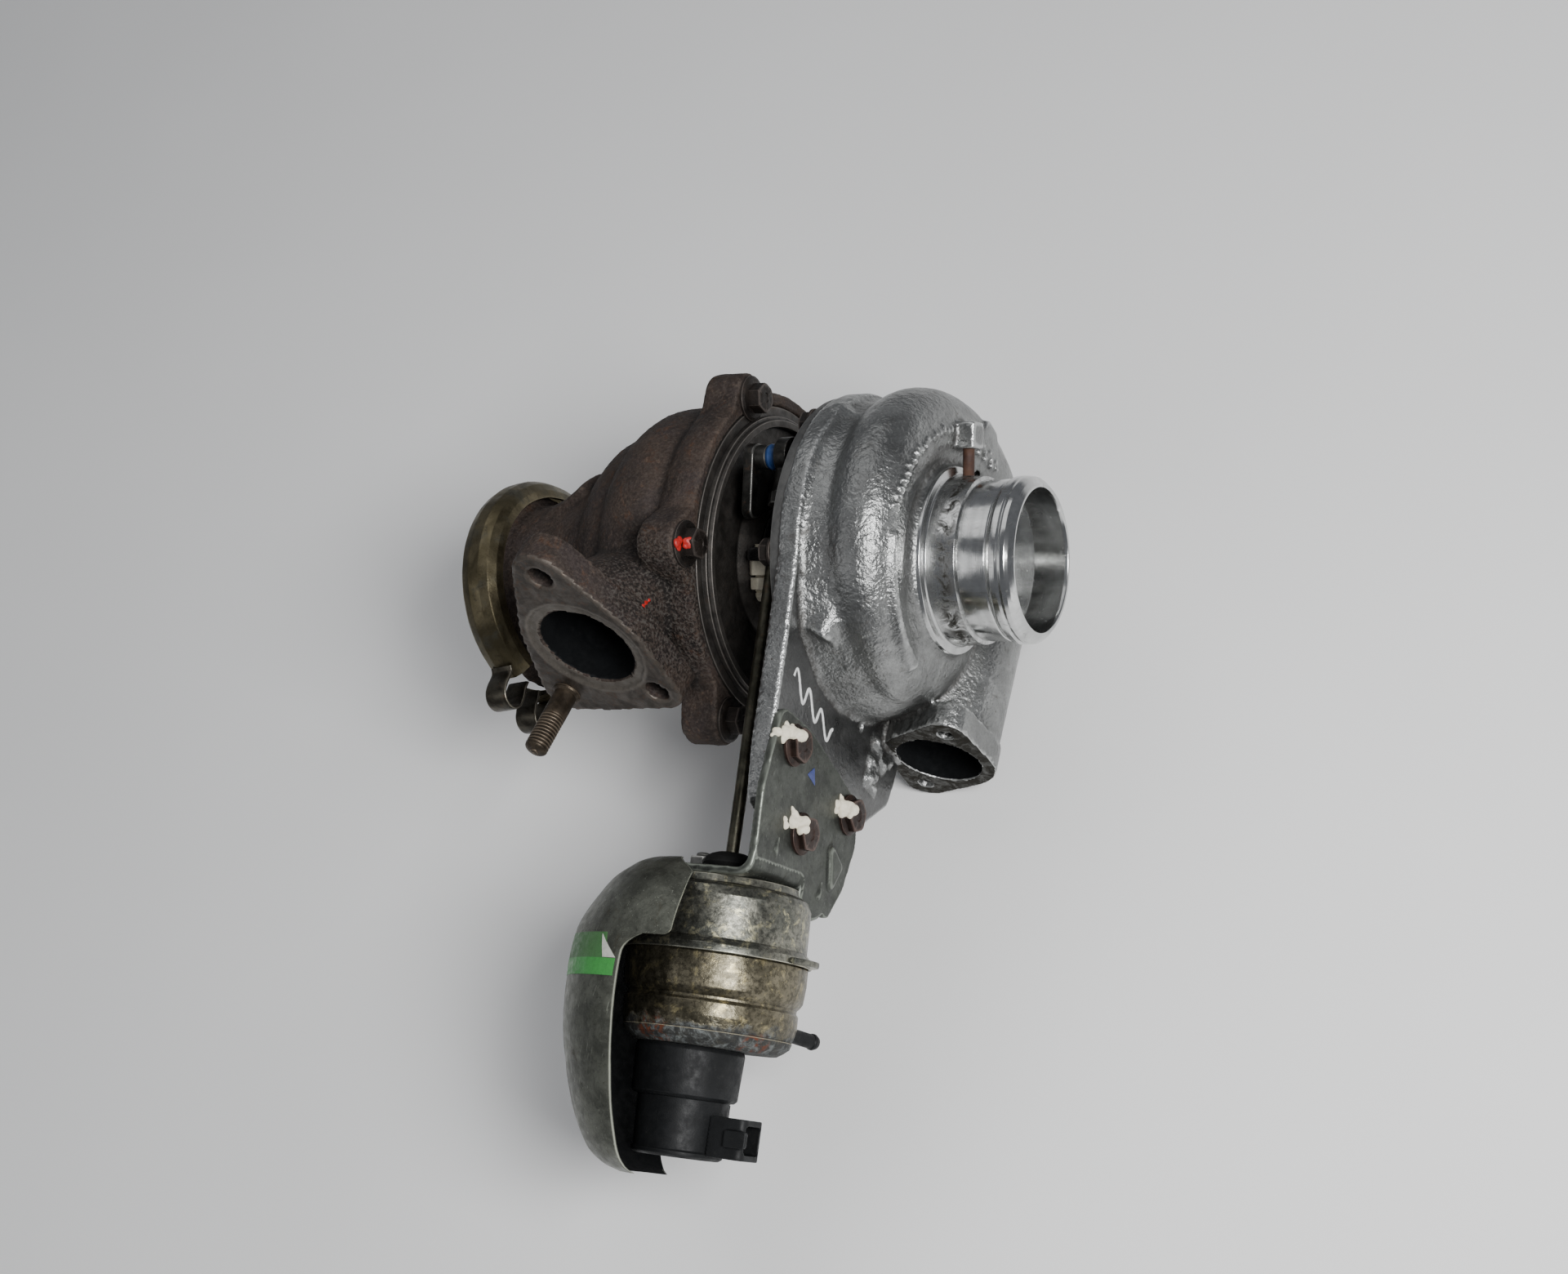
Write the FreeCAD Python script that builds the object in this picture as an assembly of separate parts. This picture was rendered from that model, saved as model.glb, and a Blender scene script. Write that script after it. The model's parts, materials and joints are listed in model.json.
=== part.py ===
import FreeCAD, Part
import math
import os

# A variable-nozzle turbocharger with a vacuum actuator, in millimetres.
# The shaft lies along X, and +X points out of the compressor inlet.
# The origin is the centre of the compressor inlet's mouth.
# -Y is the side that the compressor outlet, the manifold flange and the actuator point to.

os.makedirs("parts", exist_ok=True)

V = FreeCAD.Vector
X_AXIS = V(1, 0, 0)
FIT = 0.05           # running clearance of a shaft, on the radius

# ---- driving dimensions -------------------------------------------------------
INLET_BORE_R = 23.0
INLET_SPIGOT_R = 26.1
INLET_BEAD_R = 27.1
HOUSING_FRONT = -28.7       # where the turned inlet meets the casting
HOUSING_REAR = -66.0        # face of the compressor housing on the backplate
HOUSING_RIM_R = 55.5
WEB_FRONT = -59.0           # front face of the flat web that carries the bracket
OUTLET_CENTRE = V(-43.0, -49.5, -47.5)
OUTLET_BORE_R = 14.8
COMPRESSOR_WHEEL_R = 24.5
COMPRESSOR_EYE_R = 18.0
WHEEL_NOSE = -34.0
WHEEL_BACK = -61.5

BACKPLATE_REAR = -69.5
BARREL_R = 18.5             # bearing housing between its two ends
TURBINE_FACE = -96.8        # face of the turbine housing's bolted flange
FLANGE_R = 53.0             # bearing housing's turbine flange
FLANGE_RIM_R = 45.7
FLANGE_FRONT = -94.0
FLANGE_BACK = -101.0
JOURNAL_R = 4.0

PIVOT_R = 30.0              # circle of the vane pivots
RING_SLOT_R = 38.0          # where the vane arms' tips meet the unison ring
VANES = 9
VANE_X = (-114.0, -107.8)
TURBINE_WHEEL_R = 21.5
TURBINE_WHEEL_X = (-128.0, -105.0)
VOLUTE_X = -122.0

MANIFOLD_BORE_R = 16.5
MANIFOLD_CENTRE = V(-127.6, -60.3, 45.9)
MANIFOLD_NORMAL = V(-0.051, -0.977, 0.206).normalize()
OUTLET_RING_CENTRE = V(-183.5, -10.0, -2.0)
OUTLET_RING_NORMAL = V(0.985, 0.109, 0.13).normalize()

STROKE = 9.0                # travel of the actuator rod
CRANK_ARM = 16.0            # crank shaft to lever pin
CRANK_ANGLE = math.radians(64.2)
CRANK_ARM_X = (-90.0, -86.5)
ROD_X = -76.0
ROD_R = 2.1
ROD_TILT = math.radians(14.7)
SHELF_DISTANCE = 131.0      # lever pin at mid stroke to the bracket's shelf
HALF_SWING = math.asin(STROKE / 2 / CRANK_ARM)

CAN_R = 27.0
SEAM = 26.0                 # crimped seam of the can, from the shelf
LOWER_END = 54.0            # lower end of the can, from the shelf
SKIN = 1.2                  # sheet of the can
SENSOR_SHIFT = V(-5.0, 0, 0)

# ---- frames ------------------------------------------------------------------
CRANK_CENTRE = V(0, PIVOT_R * math.cos(CRANK_ANGLE), PIVOT_R * math.sin(CRANK_ANGLE))
ROD_DIR = V(0, -math.cos(ROD_TILT), -math.sin(ROD_TILT))     # from the linkage to the can
ROD_SIDE = V(0, -math.sin(ROD_TILT), math.cos(ROD_TILT))
ROD_OFFSET = CRANK_ARM * (1 + math.cos(HALF_SWING)) / 2
MID_PIN = V(ROD_X, CRANK_CENTRE.y, CRANK_CENTRE.z) + ROD_SIDE * ROD_OFFSET
REST_EYE = MID_PIN - ROD_DIR * (STROKE / 2)
SHELF = MID_PIN + ROD_DIR * SHELF_DISTANCE


def save(name, shape):
    shape.exportStep("parts/" + name + ".step")


def turned(profile, centre=V(0, 0, 0), axis=X_AXIS):
    """A solid turned about an axis, from (distance along the axis, radius) points."""
    side = axis.cross(V(0.13, 0.31, 0.94)).normalize()
    points = [centre + axis * along + side * radius for along, radius in profile]
    face = Part.Face(Part.makePolygon(points + [points[0]]))
    return face.revolve(centre, axis, 360)


def rod(start, end, radius):
    span = end - start
    return Part.makeCylinder(radius, span.Length, start, span)


def x_rod(x0, x1, radius, y=0.0, z=0.0):
    return rod(V(x0, y, z), V(x1, y, z), radius)


def x_tube(x0, x1, outer, inner, y=0.0, z=0.0):
    return x_rod(x0, x1, outer, y, z).cut(x_rod(x0 - 1, x1 + 1, inner, y, z))


def polar(x, radius, angle):
    return V(x, radius * math.cos(angle), radius * math.sin(angle))


def circle_wire(centre, normal, radius):
    return Part.Wire(Part.Edge(Part.Circle(centre, normal, radius)))


def fused(shapes):
    result = shapes[0]
    if len(shapes) > 1:
        result = shapes[0].multiFuse(shapes[1:])
    return result.removeSplitter()


def cut_all(shape, tools):
    for tool in tools:
        shape = shape.cut(tool)
    return shape


def rounded_wire(points, radius):
    """A closed outline through 3-D corner points, each corner rounded by an arc."""
    edges = []
    ends = []
    count = len(points)
    for i, corner in enumerate(points):
        before = (points[i - 1] - corner).normalize()
        after = (points[(i + 1) % count] - corner).normalize()
        half = before.getAngle(after) / 2
        r = radius[i] if isinstance(radius, (list, tuple)) else radius
        reach = r / math.tan(half)
        middle = corner + (before + after).normalize() * (r / math.sin(half) - r)
        arc = Part.Arc(corner + before * reach, middle, corner + after * reach)
        ends.append((corner + before * reach, arc, corner + after * reach))
    for i in range(count):
        edges.append(ends[i][1].toShape())
        start = ends[i][2]
        end = ends[(i + 1) % count][0]
        if start.distanceToPoint(end) > 1e-4:
            edges.append(Part.LineSegment(start, end).toShape())
    return Part.Wire(edges)


def plate(points, radius, thickness):
    """A flat plate: a rounded outline pushed along the thickness vector."""
    return Part.Face(rounded_wire(points, radius)).extrude(thickness)


def hull_plate(circles, origin, axis_u, axis_w, thickness):
    """A plate whose outline wraps round discs given as (u, w, radius)."""
    pieces = []
    normal = thickness
    count = len(circles)
    for u, w, r in circles:
        pieces.append(rod(origin + axis_u * u + axis_w * w, origin + axis_u * u + axis_w * w + normal, r))
    for i in range(count):
        u0, w0, r0 = circles[i]
        u1, w1, r1 = circles[(i + 1) % count]
        length = math.hypot(u1 - u0, w1 - w0)
        base = math.atan2(w1 - w0, u1 - u0)
        lean = math.acos((r0 - r1) / length)
        corners = []
        for sign in (1, -1):
            a = base + sign * lean
            corners.append((u0 + r0 * math.cos(a), w0 + r0 * math.sin(a)))
            corners.append((u1 + r1 * math.cos(a), w1 + r1 * math.sin(a)))
        ring = [corners[0], corners[1], corners[3], corners[2]]
        wall = [origin + axis_u * u + axis_w * w for u, w in ring]
        pieces.append(Part.Face(Part.makePolygon(wall + [wall[0]])).extrude(normal))
    middle = [origin + axis_u * u + axis_w * w for u, w, r in circles]
    if count > 2:
        pieces.append(Part.Face(Part.makePolygon(middle + [middle[0]])).extrude(normal))
    return fused(pieces)


def hex_prism(start, end, across_flats):
    axis = (end - start).normalize()
    side = axis.cross(V(0.13, 0.31, 0.94)).normalize()
    other = axis.cross(side)
    r = across_flats / math.sqrt(3)
    corners = []
    for i in range(6):
        a = math.radians(60 * i)
        corners.append(start + side * (r * math.cos(a)) + other * (r * math.sin(a)))
    return Part.Face(Part.makePolygon(corners + [corners[0]])).extrude(end - start)


def bolt(seat, direction, shank_r, shank_length, across_flats, flange_r, head=5.0):
    """A flanged hex bolt: seat is under the head, direction points out of the head."""
    pieces = [rod(seat - direction * shank_length, seat + direction * 0.5, shank_r)]
    pieces.append(rod(seat, seat + direction * 1.6, flange_r))
    pieces.append(hex_prism(seat + direction * 1.2, seat + direction * head, across_flats))
    return fused(pieces)


def scroll(sections, axial):
    """A snail-shell solid lofted through discs: (angle in degrees, centre radius, disc radius)."""
    wires = []
    for degrees, centre_r, disc_r in sections:
        a = math.radians(degrees)
        wires.append(circle_wire(polar(axial, centre_r, a), V(0, -math.sin(a), math.cos(a)), disc_r))
    return Part.makeLoft(wires, True, False)


def blades(count, stations, thickness, start_angle, reach_in):
    """Twisted blades: stations are (x, inner radius, outer radius, lag in degrees)."""
    made = []
    for k in range(count):
        wires = []
        for x, inner, outer, lag in stations:
            a = math.radians(start_angle + 360.0 * k / count + lag)
            out = V(0, math.cos(a), math.sin(a))
            side = V(0, -math.sin(a), math.cos(a)) * (thickness / 2)
            base = V(x, 0, 0)
            low = base + out * (inner - reach_in)
            high = base + out * outer
            ring = [low - side, high - side, high + side, low + side]
            wires.append(Part.makePolygon(ring + [ring[0]]))
        made.append(Part.makeLoft(wires, True, True))
    return made


# ---- compressor housing --------------------------------------------------------
OUTLET_DIR = V(0, -1, 0)
COMPRESSOR_SCROLL = [(228, 37, 7.5), (200, 39, 9), (170, 40, 10.5), (140, 41, 11.6), (110, 41.6, 12.6),
                     (80, 42, 13.4), (50, 42, 14.2), (20, 42.6, 15), (-10, 44, 16.2),
                     (-40, 46, 17.2), (-70, 47, 17.9), (-90, 47.5, 18.2)]
SCROLL_X = -43.0
WALL = 3.6
HOUSING_BOLT_R = 49.5
HOUSING_BOLT_ANGLES = [math.radians(58.0 + 60.0 * i) for i in range(6)]
BRACKET_BOLTS = [V(0, -81.0, 24.5), V(0, -102.5, 6.5), V(0, -83.5, -20.0)]
OUTLET_HOLES = [V(-55.0, -49.5, -66.0), V(-33.5, -49.5, -28.5)]


def compressor_housing():
    outside = turned([(0, INLET_BORE_R - 2), (0, INLET_BORE_R + 1.2), (-1.6, INLET_SPIGOT_R),
                      (-3, INLET_BEAD_R),
                      (-7.5, INLET_BEAD_R), (-8.6, INLET_SPIGOT_R), (-18.3, INLET_SPIGOT_R), (-18.9, 27.3),
                      (HOUSING_FRONT, 27.8), (HOUSING_FRONT, 30.2), (-31.5, 31.5), (-33, 37), (-37, 43.5),
                      (-43, 48.5), (-51, 51.5), (WEB_FRONT, 53.5), (WEB_FRONT, HOUSING_RIM_R),
                      (HOUSING_REAR, HOUSING_RIM_R),
                      (HOUSING_REAR, INLET_BORE_R - 2)])
    snail = scroll(COMPRESSOR_SCROLL, SCROLL_X)
    last_r = COMPRESSOR_SCROLL[-1][2]
    last_centre_r = COMPRESSOR_SCROLL[-1][1]
    pipe = rod(V(SCROLL_X, 2.0, -last_centre_r), OUTLET_CENTRE + OUTLET_DIR * -2, last_r + 0.4)
    web_outline = [(-18, 51), (-55, 41), (-84, 34), (-102.5, 27), (-100.5, 6), (-97, -18), (-84, -32),
                   (-66, -50), (-30, -52), (0, -40), (10, 20)]
    web = plate([V(HOUSING_REAR, y, z) for y, z in web_outline],
                [6, 8, 6, 7, 6, 9, 6, 9, 8, 8, 8], V(WEB_FRONT - HOUSING_REAR, 0, 0))
    flange = hull_plate([(0, 0, 19.5), (-12.0, -18.5, 8.0), (9.5, 19.0, 8.0)],
                        OUTLET_CENTRE, X_AXIS, V(0, 0, 1), V(0, 9.0, 0))
    rib = rod(V(-38, -8, 38), V(-55, -46, 30), 5.0)
    boss = plate([V(-40, 40.5, -4.5), V(-40, 52, -4.5), V(-40, 52, 6.5), V(-40, 40.5, 6.5)], 2.5,
                 V(12.5, 0, 0))
    body = fused([outside, web])
    for piece in (snail, pipe, flange, rib, boss):
        body = body.fuse(piece)
    inside = turned([(1, INLET_BORE_R), (-12, INLET_BORE_R), (-28, COMPRESSOR_EYE_R + 0.3),
                     (-46, COMPRESSOR_EYE_R + 0.3), (-52, COMPRESSOR_EYE_R + 1.6),
                     (-56, COMPRESSOR_WHEEL_R - 3.5),
                     (-58.2, COMPRESSOR_WHEEL_R + 0.4), (-58.2, 38), (-62.4, 38), (-62.4, 46.2),
                     (HOUSING_REAR - 1, 46.2), (HOUSING_REAR - 1, 0), (1, 0)])
    hollow = scroll([(a, c, r - WALL) for a, c, r in COMPRESSOR_SCROLL], SCROLL_X)
    bore = rod(V(SCROLL_X, 3.0, -last_centre_r), OUTLET_CENTRE + OUTLET_DIR, OUTLET_BORE_R - 0.7)
    mouth = rod(OUTLET_CENTRE - OUTLET_DIR * 12, OUTLET_CENTRE + OUTLET_DIR, OUTLET_BORE_R)
    throat = x_tube(-58.4, -47, 40.5, 34.5)
    tools = [inside, hollow, bore, mouth, throat]
    for a in HOUSING_BOLT_ANGLES:
        p = polar(HOUSING_REAR, HOUSING_BOLT_R, a)
        tools.append(rod(p, p + V(7.2, 0, 0), 2.5))
    for p in BRACKET_BOLTS:
        tools.append(x_rod(HOUSING_REAR - 1, WEB_FRONT + 1, 3.0, p.y, p.z))
    for p in OUTLET_HOLES:
        tools.append(rod(p + V(0, -1, 0), p + V(0, 8.0, 0), 2.6))
    tools.append(x_rod(WEB_FRONT - 5.5, WEB_FRONT + 1, 1.7, -52.5, -18.0))
    tools.append(rod(V(-32, 32, -1), V(-32, 45, -1), 2.0))
    return cut_all(body, tools)


save("compressor_housing", compressor_housing())
save("inlet_boss_pin", rod(V(-32, 32.2, -1), V(-32, 45, -1), 2.0))


def make_backplate():
    disc = fused([x_rod(BACKPLATE_REAR, HOUSING_REAR, HOUSING_RIM_R - 1), x_rod(HOUSING_REAR, -62.4, 46)])
    disc = disc.cut(x_rod(-80, -50, 7.2))
    disc = disc.cut(x_tube(-64.9, -63.1, 47, 44.4))
    for a in HOUSING_BOLT_ANGLES:
        p = polar(BACKPLATE_REAR - 1, HOUSING_BOLT_R, a)
        disc = disc.cut(rod(p, p + V(10, 0, 0), 2.7))
    return disc


save("compressor_backplate", make_backplate())
save("backplate_seal", Part.makeTorus(45.3, 0.85, V(-64.0, 0, 0), X_AXIS))
save("compressor_bolts", Part.makeCompound([
    bolt(polar(BACKPLATE_REAR, HOUSING_BOLT_R, a), V(-1, 0, 0), 2.45, 9.5, 8.0, 5.4, 4.6)
    for a in HOUSING_BOLT_ANGLES]))

# ---- rotor ---------------------------------------------------------------------
WHEEL_HUB = [(WHEEL_NOSE, 5.4), (-42, 6.4), (-50, 8.6), (-56, 13.0), (-59.5, 19.5),
             (-60.5, COMPRESSOR_WHEEL_R)]


def compressor_wheel():
    hub = turned(WHEEL_HUB + [(WHEEL_BACK, COMPRESSOR_WHEEL_R), (WHEEL_BACK, 9), (-62.2, 8), (-62.2, 3.0),
                              (WHEEL_NOSE, 3.0)])
    full = [(-35.5, 5.6, 17.7, 0), (-42, 6.4, 17.7, 22), (-50, 8.6, 17.9, 42), (-56.5, 13.4, 20.3, 54),
            (-60.6, 21.5, COMPRESSOR_WHEEL_R, 66)]
    short = [(-44, 6.9, 17.7, 27), (-50, 8.6, 17.9, 42), (-56.5, 13.4, 20.3, 54),
             (-60.6, 21.5, COMPRESSOR_WHEEL_R, 66)]
    return fused([hub] + blades(6, full, 0.8, 0, 1.2) + blades(6, short, 0.8, 30, 1.2))


def turbine_wheel():
    x_back, x_nose = TURBINE_WHEEL_X[1], TURBINE_WHEEL_X[0]
    hub = turned([(x_back, 0), (x_back, TURBINE_WHEEL_R - 4), (x_back - 1.2, TURBINE_WHEEL_R - 4.5),
                  (x_back - 5, 12.5), (x_back - 11, 8), (x_nose + 3, 6.4), (x_nose - 1, 5.4),
                  (x_nose - 3, 3.5),
                  (x_nose - 3, 0)])
    stations = [(x_back - 0.2, TURBINE_WHEEL_R - 6, TURBINE_WHEEL_R, 0),
                (x_back - 7, 11, TURBINE_WHEEL_R, 2),
                (x_back - 12, 8, 19.6, 10), (x_back - 17, 7, 18.4, 26), (x_nose + 0.5, 6, 18.2, 46)]
    return fused([hub] + blades(11, stations, 1.1, 0, 1.5))


save("compressor_wheel", compressor_wheel())
save("turbine_wheel", turbine_wheel())
save("shaft", fused([x_rod(-105, -98.5, 8.0), x_rod(-98.5, -70.5, JOURNAL_R), x_rod(-70.5, -31.5, 3.0)]))
save("compressor_nut", hex_prism(V(-33.9, 0, 0), V(-29.5, 0, 0), 9.0).cut(x_rod(-40, -20, 3.0)))
save("thrust_collar", turned([(-73.5, 3.05), (-73.5, 8.5), (-72.2, 8.5), (-72.2, 5.2), (-70.6, 5.2),
                              (-70.6, 8.5),
                              (-69.8, 8.5), (-69.8, 3.05)], V(0, 0, 0)).cut(
    x_rod(-80, -70.5, JOURNAL_R + 0.01)))
save("oil_flinger", turned([(-69.7, 3.02), (-69.7, 6.0), (-68.6, 6.9), (-66.0, 6.9), (-66.0, 6.1),
                            (-64.8, 6.1),
                            (-64.8, 6.9), (-62.3, 6.9), (-62.3, 3.02)]))


# ---- bearing housing -------------------------------------------------------------
def bearing_housing():
    body = fused([x_rod(-92, BACKPLATE_REAR, BARREL_R), x_rod(-75.0, BACKPLATE_REAR, 27.0),
                  turned([(-88, BARREL_R - 1), (-91, BARREL_R + 3), (-97.2, 27), (-97.2, FLANGE_RIM_R),
                          (FLANGE_FRONT, FLANGE_RIM_R), (FLANGE_FRONT, 48.0), (-95.4, 49.1),
                          (-96.9, 49.2), (-96.9, FLANGE_R),
                          (FLANGE_BACK, FLANGE_R), (FLANGE_BACK, 12), (-88, 12)])])
    oil_in = rod(V(-81, 10, 0), V(-81, 36, 0), 9.5)
    oil_out = plate([V(-91.5, -12, -13), V(-70.5, -12, -13), V(-70.5, 12, -13), V(-91.5, 12, -13)], 4,
                    V(0, 0, -22))
    lug = plate([STOP_LUG + V(-5.5, 0, 0) - STOP_SIDE * 11, STOP_LUG + V(5.0, 0, 0) - STOP_SIDE * 11,
                 STOP_LUG + V(5.0, 0, 0) + STOP_SIDE * 5, STOP_LUG + V(-5.5, 0, 0) + STOP_SIDE * 5],
                2.0, CRANK_STOP_DIR * 4.5)
    crank_boss = x_rod(-98, -91.0, 7.0, CRANK_CENTRE.y, CRANK_CENTRE.z)
    body = fused([body, oil_in, oil_out, lug, crank_boss])
    rim = x_tube(-103.9, FLANGE_BACK + 0.5, 50.0, 42.0 + FIT)
    body = fused([body, rim])
    bore = fused([x_rod(-94.5, -73.6, 7.5), x_rod(-110, -94.5, 8.1), x_rod(-73.7, -60, 13.0)])
    gallery = rod(V(-81, 6, 0), V(-81, 40, 0), 3.2)
    inlet_thread = rod(V(-81, 24, 0), V(-81, 40, 0), 5.0)
    drain = rod(V(-81, 0, -12), V(-81, 0, -40), 6.5).fuse(rod(V(-81, 0, -6), V(-81, 0, -13), 5.0))
    drain_bolts = [rod(V(x, y, -25), V(x, y, -40), 2.5) for x, y in ((-87.5, 8.3), (-74.5, -8.3))]
    crank_hole = x_rod(-110, -85, 5.0, CRANK_CENTRE.y, CRANK_CENTRE.z)
    stop_hole = rod(STOP_LUG - CRANK_STOP_DIR, STOP_LUG + CRANK_STOP_DIR * 6, 2.5)
    pocket = turned([(FLANGE_BACK - 0.1, 12.5), (FLANGE_BACK - 0.1, 25), (-98.8, 25), (-98.8, 12.5)])
    tools = [bore, gallery, inlet_thread, drain, crank_hole, stop_hole, pocket]
    return cut_all(body, tools + drain_bolts)


# The stop screw points along the tail's side of the crank plate.
STOP_ANGLE = math.radians(32.7)
CRANK_STOP_DIR = V(0, math.cos(STOP_ANGLE), math.sin(STOP_ANGLE))
STOP_SIDE = V(0, -math.sin(STOP_ANGLE), math.cos(STOP_ANGLE))
STOP_LINE = V(-88.0, 0, 0) + STOP_SIDE * 25.5
STOP_LUG = STOP_LINE + CRANK_STOP_DIR * 1.0

save("bearing_housing", bearing_housing())
save("journal_bearing", cut_all(x_rod(-93.5, -74.0, 7.45), [
    x_rod(-95, -70, JOURNAL_R + FIT), x_tube(-88.0, -79.5, 9, 6.2)]))
save("thrust_bearing", cut_all(x_rod(-72.1, -70.7, 12.9), [x_rod(-80, -60, 5.3)]))
save("turbine_piston_ring", x_tube(-97.0, -95.8, 8.1, 7.2))
save("compressor_piston_ring", x_tube(-65.9, -64.9, 7.2, 6.2))
save("heat_shroud", turned([(-104.2, 9.0), (-104.2, 22.0), (-99.0, 24.6), (-98.85, 24.6), (-98.85, 24.0),
                            (-103.5, 21.4), (-103.5, 9.0)]))

# ---- variable nozzle ---------------------------------------------------------------
VANE_ANGLES = [CRANK_ANGLE + math.radians(20.0 + 360.0 * k / VANES) for k in range(VANES)]
ARM_LENGTH = RING_SLOT_R - PIVOT_R
RING_SWING = HALF_SWING * ARM_LENGTH / RING_SLOT_R
ARM_X = (-103.6, -101.6)


def nozzle_arm(angle):
    """A small lever from a pivot on the nozzle ring to a slot of the unison ring, at its rest pose."""
    pivot = polar(ARM_X[0], PIVOT_R, angle)
    lean = angle - HALF_SWING
    tip = pivot + V(0, math.cos(lean), math.sin(lean)) * ARM_LENGTH
    width = V(0, -math.sin(lean), math.cos(lean)) * 1.5
    thick = V(ARM_X[1] - ARM_X[0], 0, 0)
    bar = [pivot - width, tip - width, tip + width, pivot + width]
    return fused([rod(pivot, pivot + thick, 3.2), rod(tip, tip + thick, 2.0),
                  Part.Face(Part.makePolygon(bar + [bar[0]])).extrude(thick)])


def unison_ring():
    ring = x_tube(ARM_X[0], ARM_X[1], 42.0 - 0.1, 35.4)
    slot_angles = VANE_ANGLES + [CRANK_ANGLE]
    for angle in slot_angles:
        a = angle - RING_SWING
        out = V(0, math.cos(a), math.sin(a))
        side = V(0, -math.sin(a), math.cos(a)) * 2.25
        start = polar(ARM_X[0] - 1, 33.0, a)
        end = start + out * 7.2
        slot = [start - side, end - side, end + side, start + side]
        ring = ring.cut(Part.Face(Part.makePolygon(slot + [slot[0]])).extrude(V(5, 0, 0)))
    return ring


def nozzle_ring():
    ring = x_tube(-107.5, -104.0, 46.5, 22.6)
    for angle in VANE_ANGLES:
        p = polar(-110, PIVOT_R, angle)
        ring = ring.cut(rod(p, p + V(10, 0, 0), 1.6 + FIT))
    return ring


def vane(angle):
    """An aerofoil blade with its pin. The blade lies nearly tangent, and turns about the pin."""
    pivot = polar(VANE_X[0], PIVOT_R, angle)
    chord_angle = angle + math.radians(118)
    along = V(0, math.cos(chord_angle), math.sin(chord_angle))
    across = V(0, -math.sin(chord_angle), math.cos(chord_angle))
    nose = pivot - along * 6.5
    tail = pivot + along * 8.5
    upper = Part.Arc(nose, pivot + across * 1.9, tail)
    lower = Part.Arc(nose, pivot - across * 1.3, tail)
    blade = Part.Face(Part.Wire([upper.toShape(), lower.toShape()])).extrude(V(VANE_X[1] - VANE_X[0], 0, 0))
    pin = rod(pivot + V(0.5, 0, 0), V(ARM_X[0], pivot.y, pivot.z), 1.6)
    return fused([blade, pin])


for index, vane_angle in enumerate(VANE_ANGLES):
    save("vane_%d" % (index + 1), Part.makeCompound([vane(vane_angle), nozzle_arm(vane_angle)]))
save("unison_ring", unison_ring())
save("nozzle_ring", nozzle_ring())

# ---- turbine housing ------------------------------------------------------------------
TURBINE_SCROLL = [(118, 37, 19.0), (100, 37, 19.0), (75, 37, 18.4), (45, 36.5, 17.2), (15, 36, 16),
                  (-15, 35.5, 15), (-45, 35, 14), (-75, 34.5, 13), (-105, 34, 12), (-135, 33.5, 11),
                  (-165, 33, 10)]
TURBINE_BOLTS = [(49, 57.0), (116, 60.5), (178.5, 61.5), (243, 60.0), (308, 58.0)]
MANIFOLD_U = (X_AXIS - MANIFOLD_NORMAL * X_AXIS.dot(MANIFOLD_NORMAL)).normalize()
MANIFOLD_W = MANIFOLD_U.cross(MANIFOLD_NORMAL).normalize() * -1
MANIFOLD_HOLES = [(-0.9, 32.7), (18.0, -19.7), (-19.3, -23.3)]
HOLE_R = 4.3
STUD_ROOT_R = 3.4            # the stud's thread inside the flange


def manifold_point(u, w, depth=0.0):
    return MANIFOLD_CENTRE + MANIFOLD_U * u + MANIFOLD_W * w - MANIFOLD_NORMAL * depth


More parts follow.
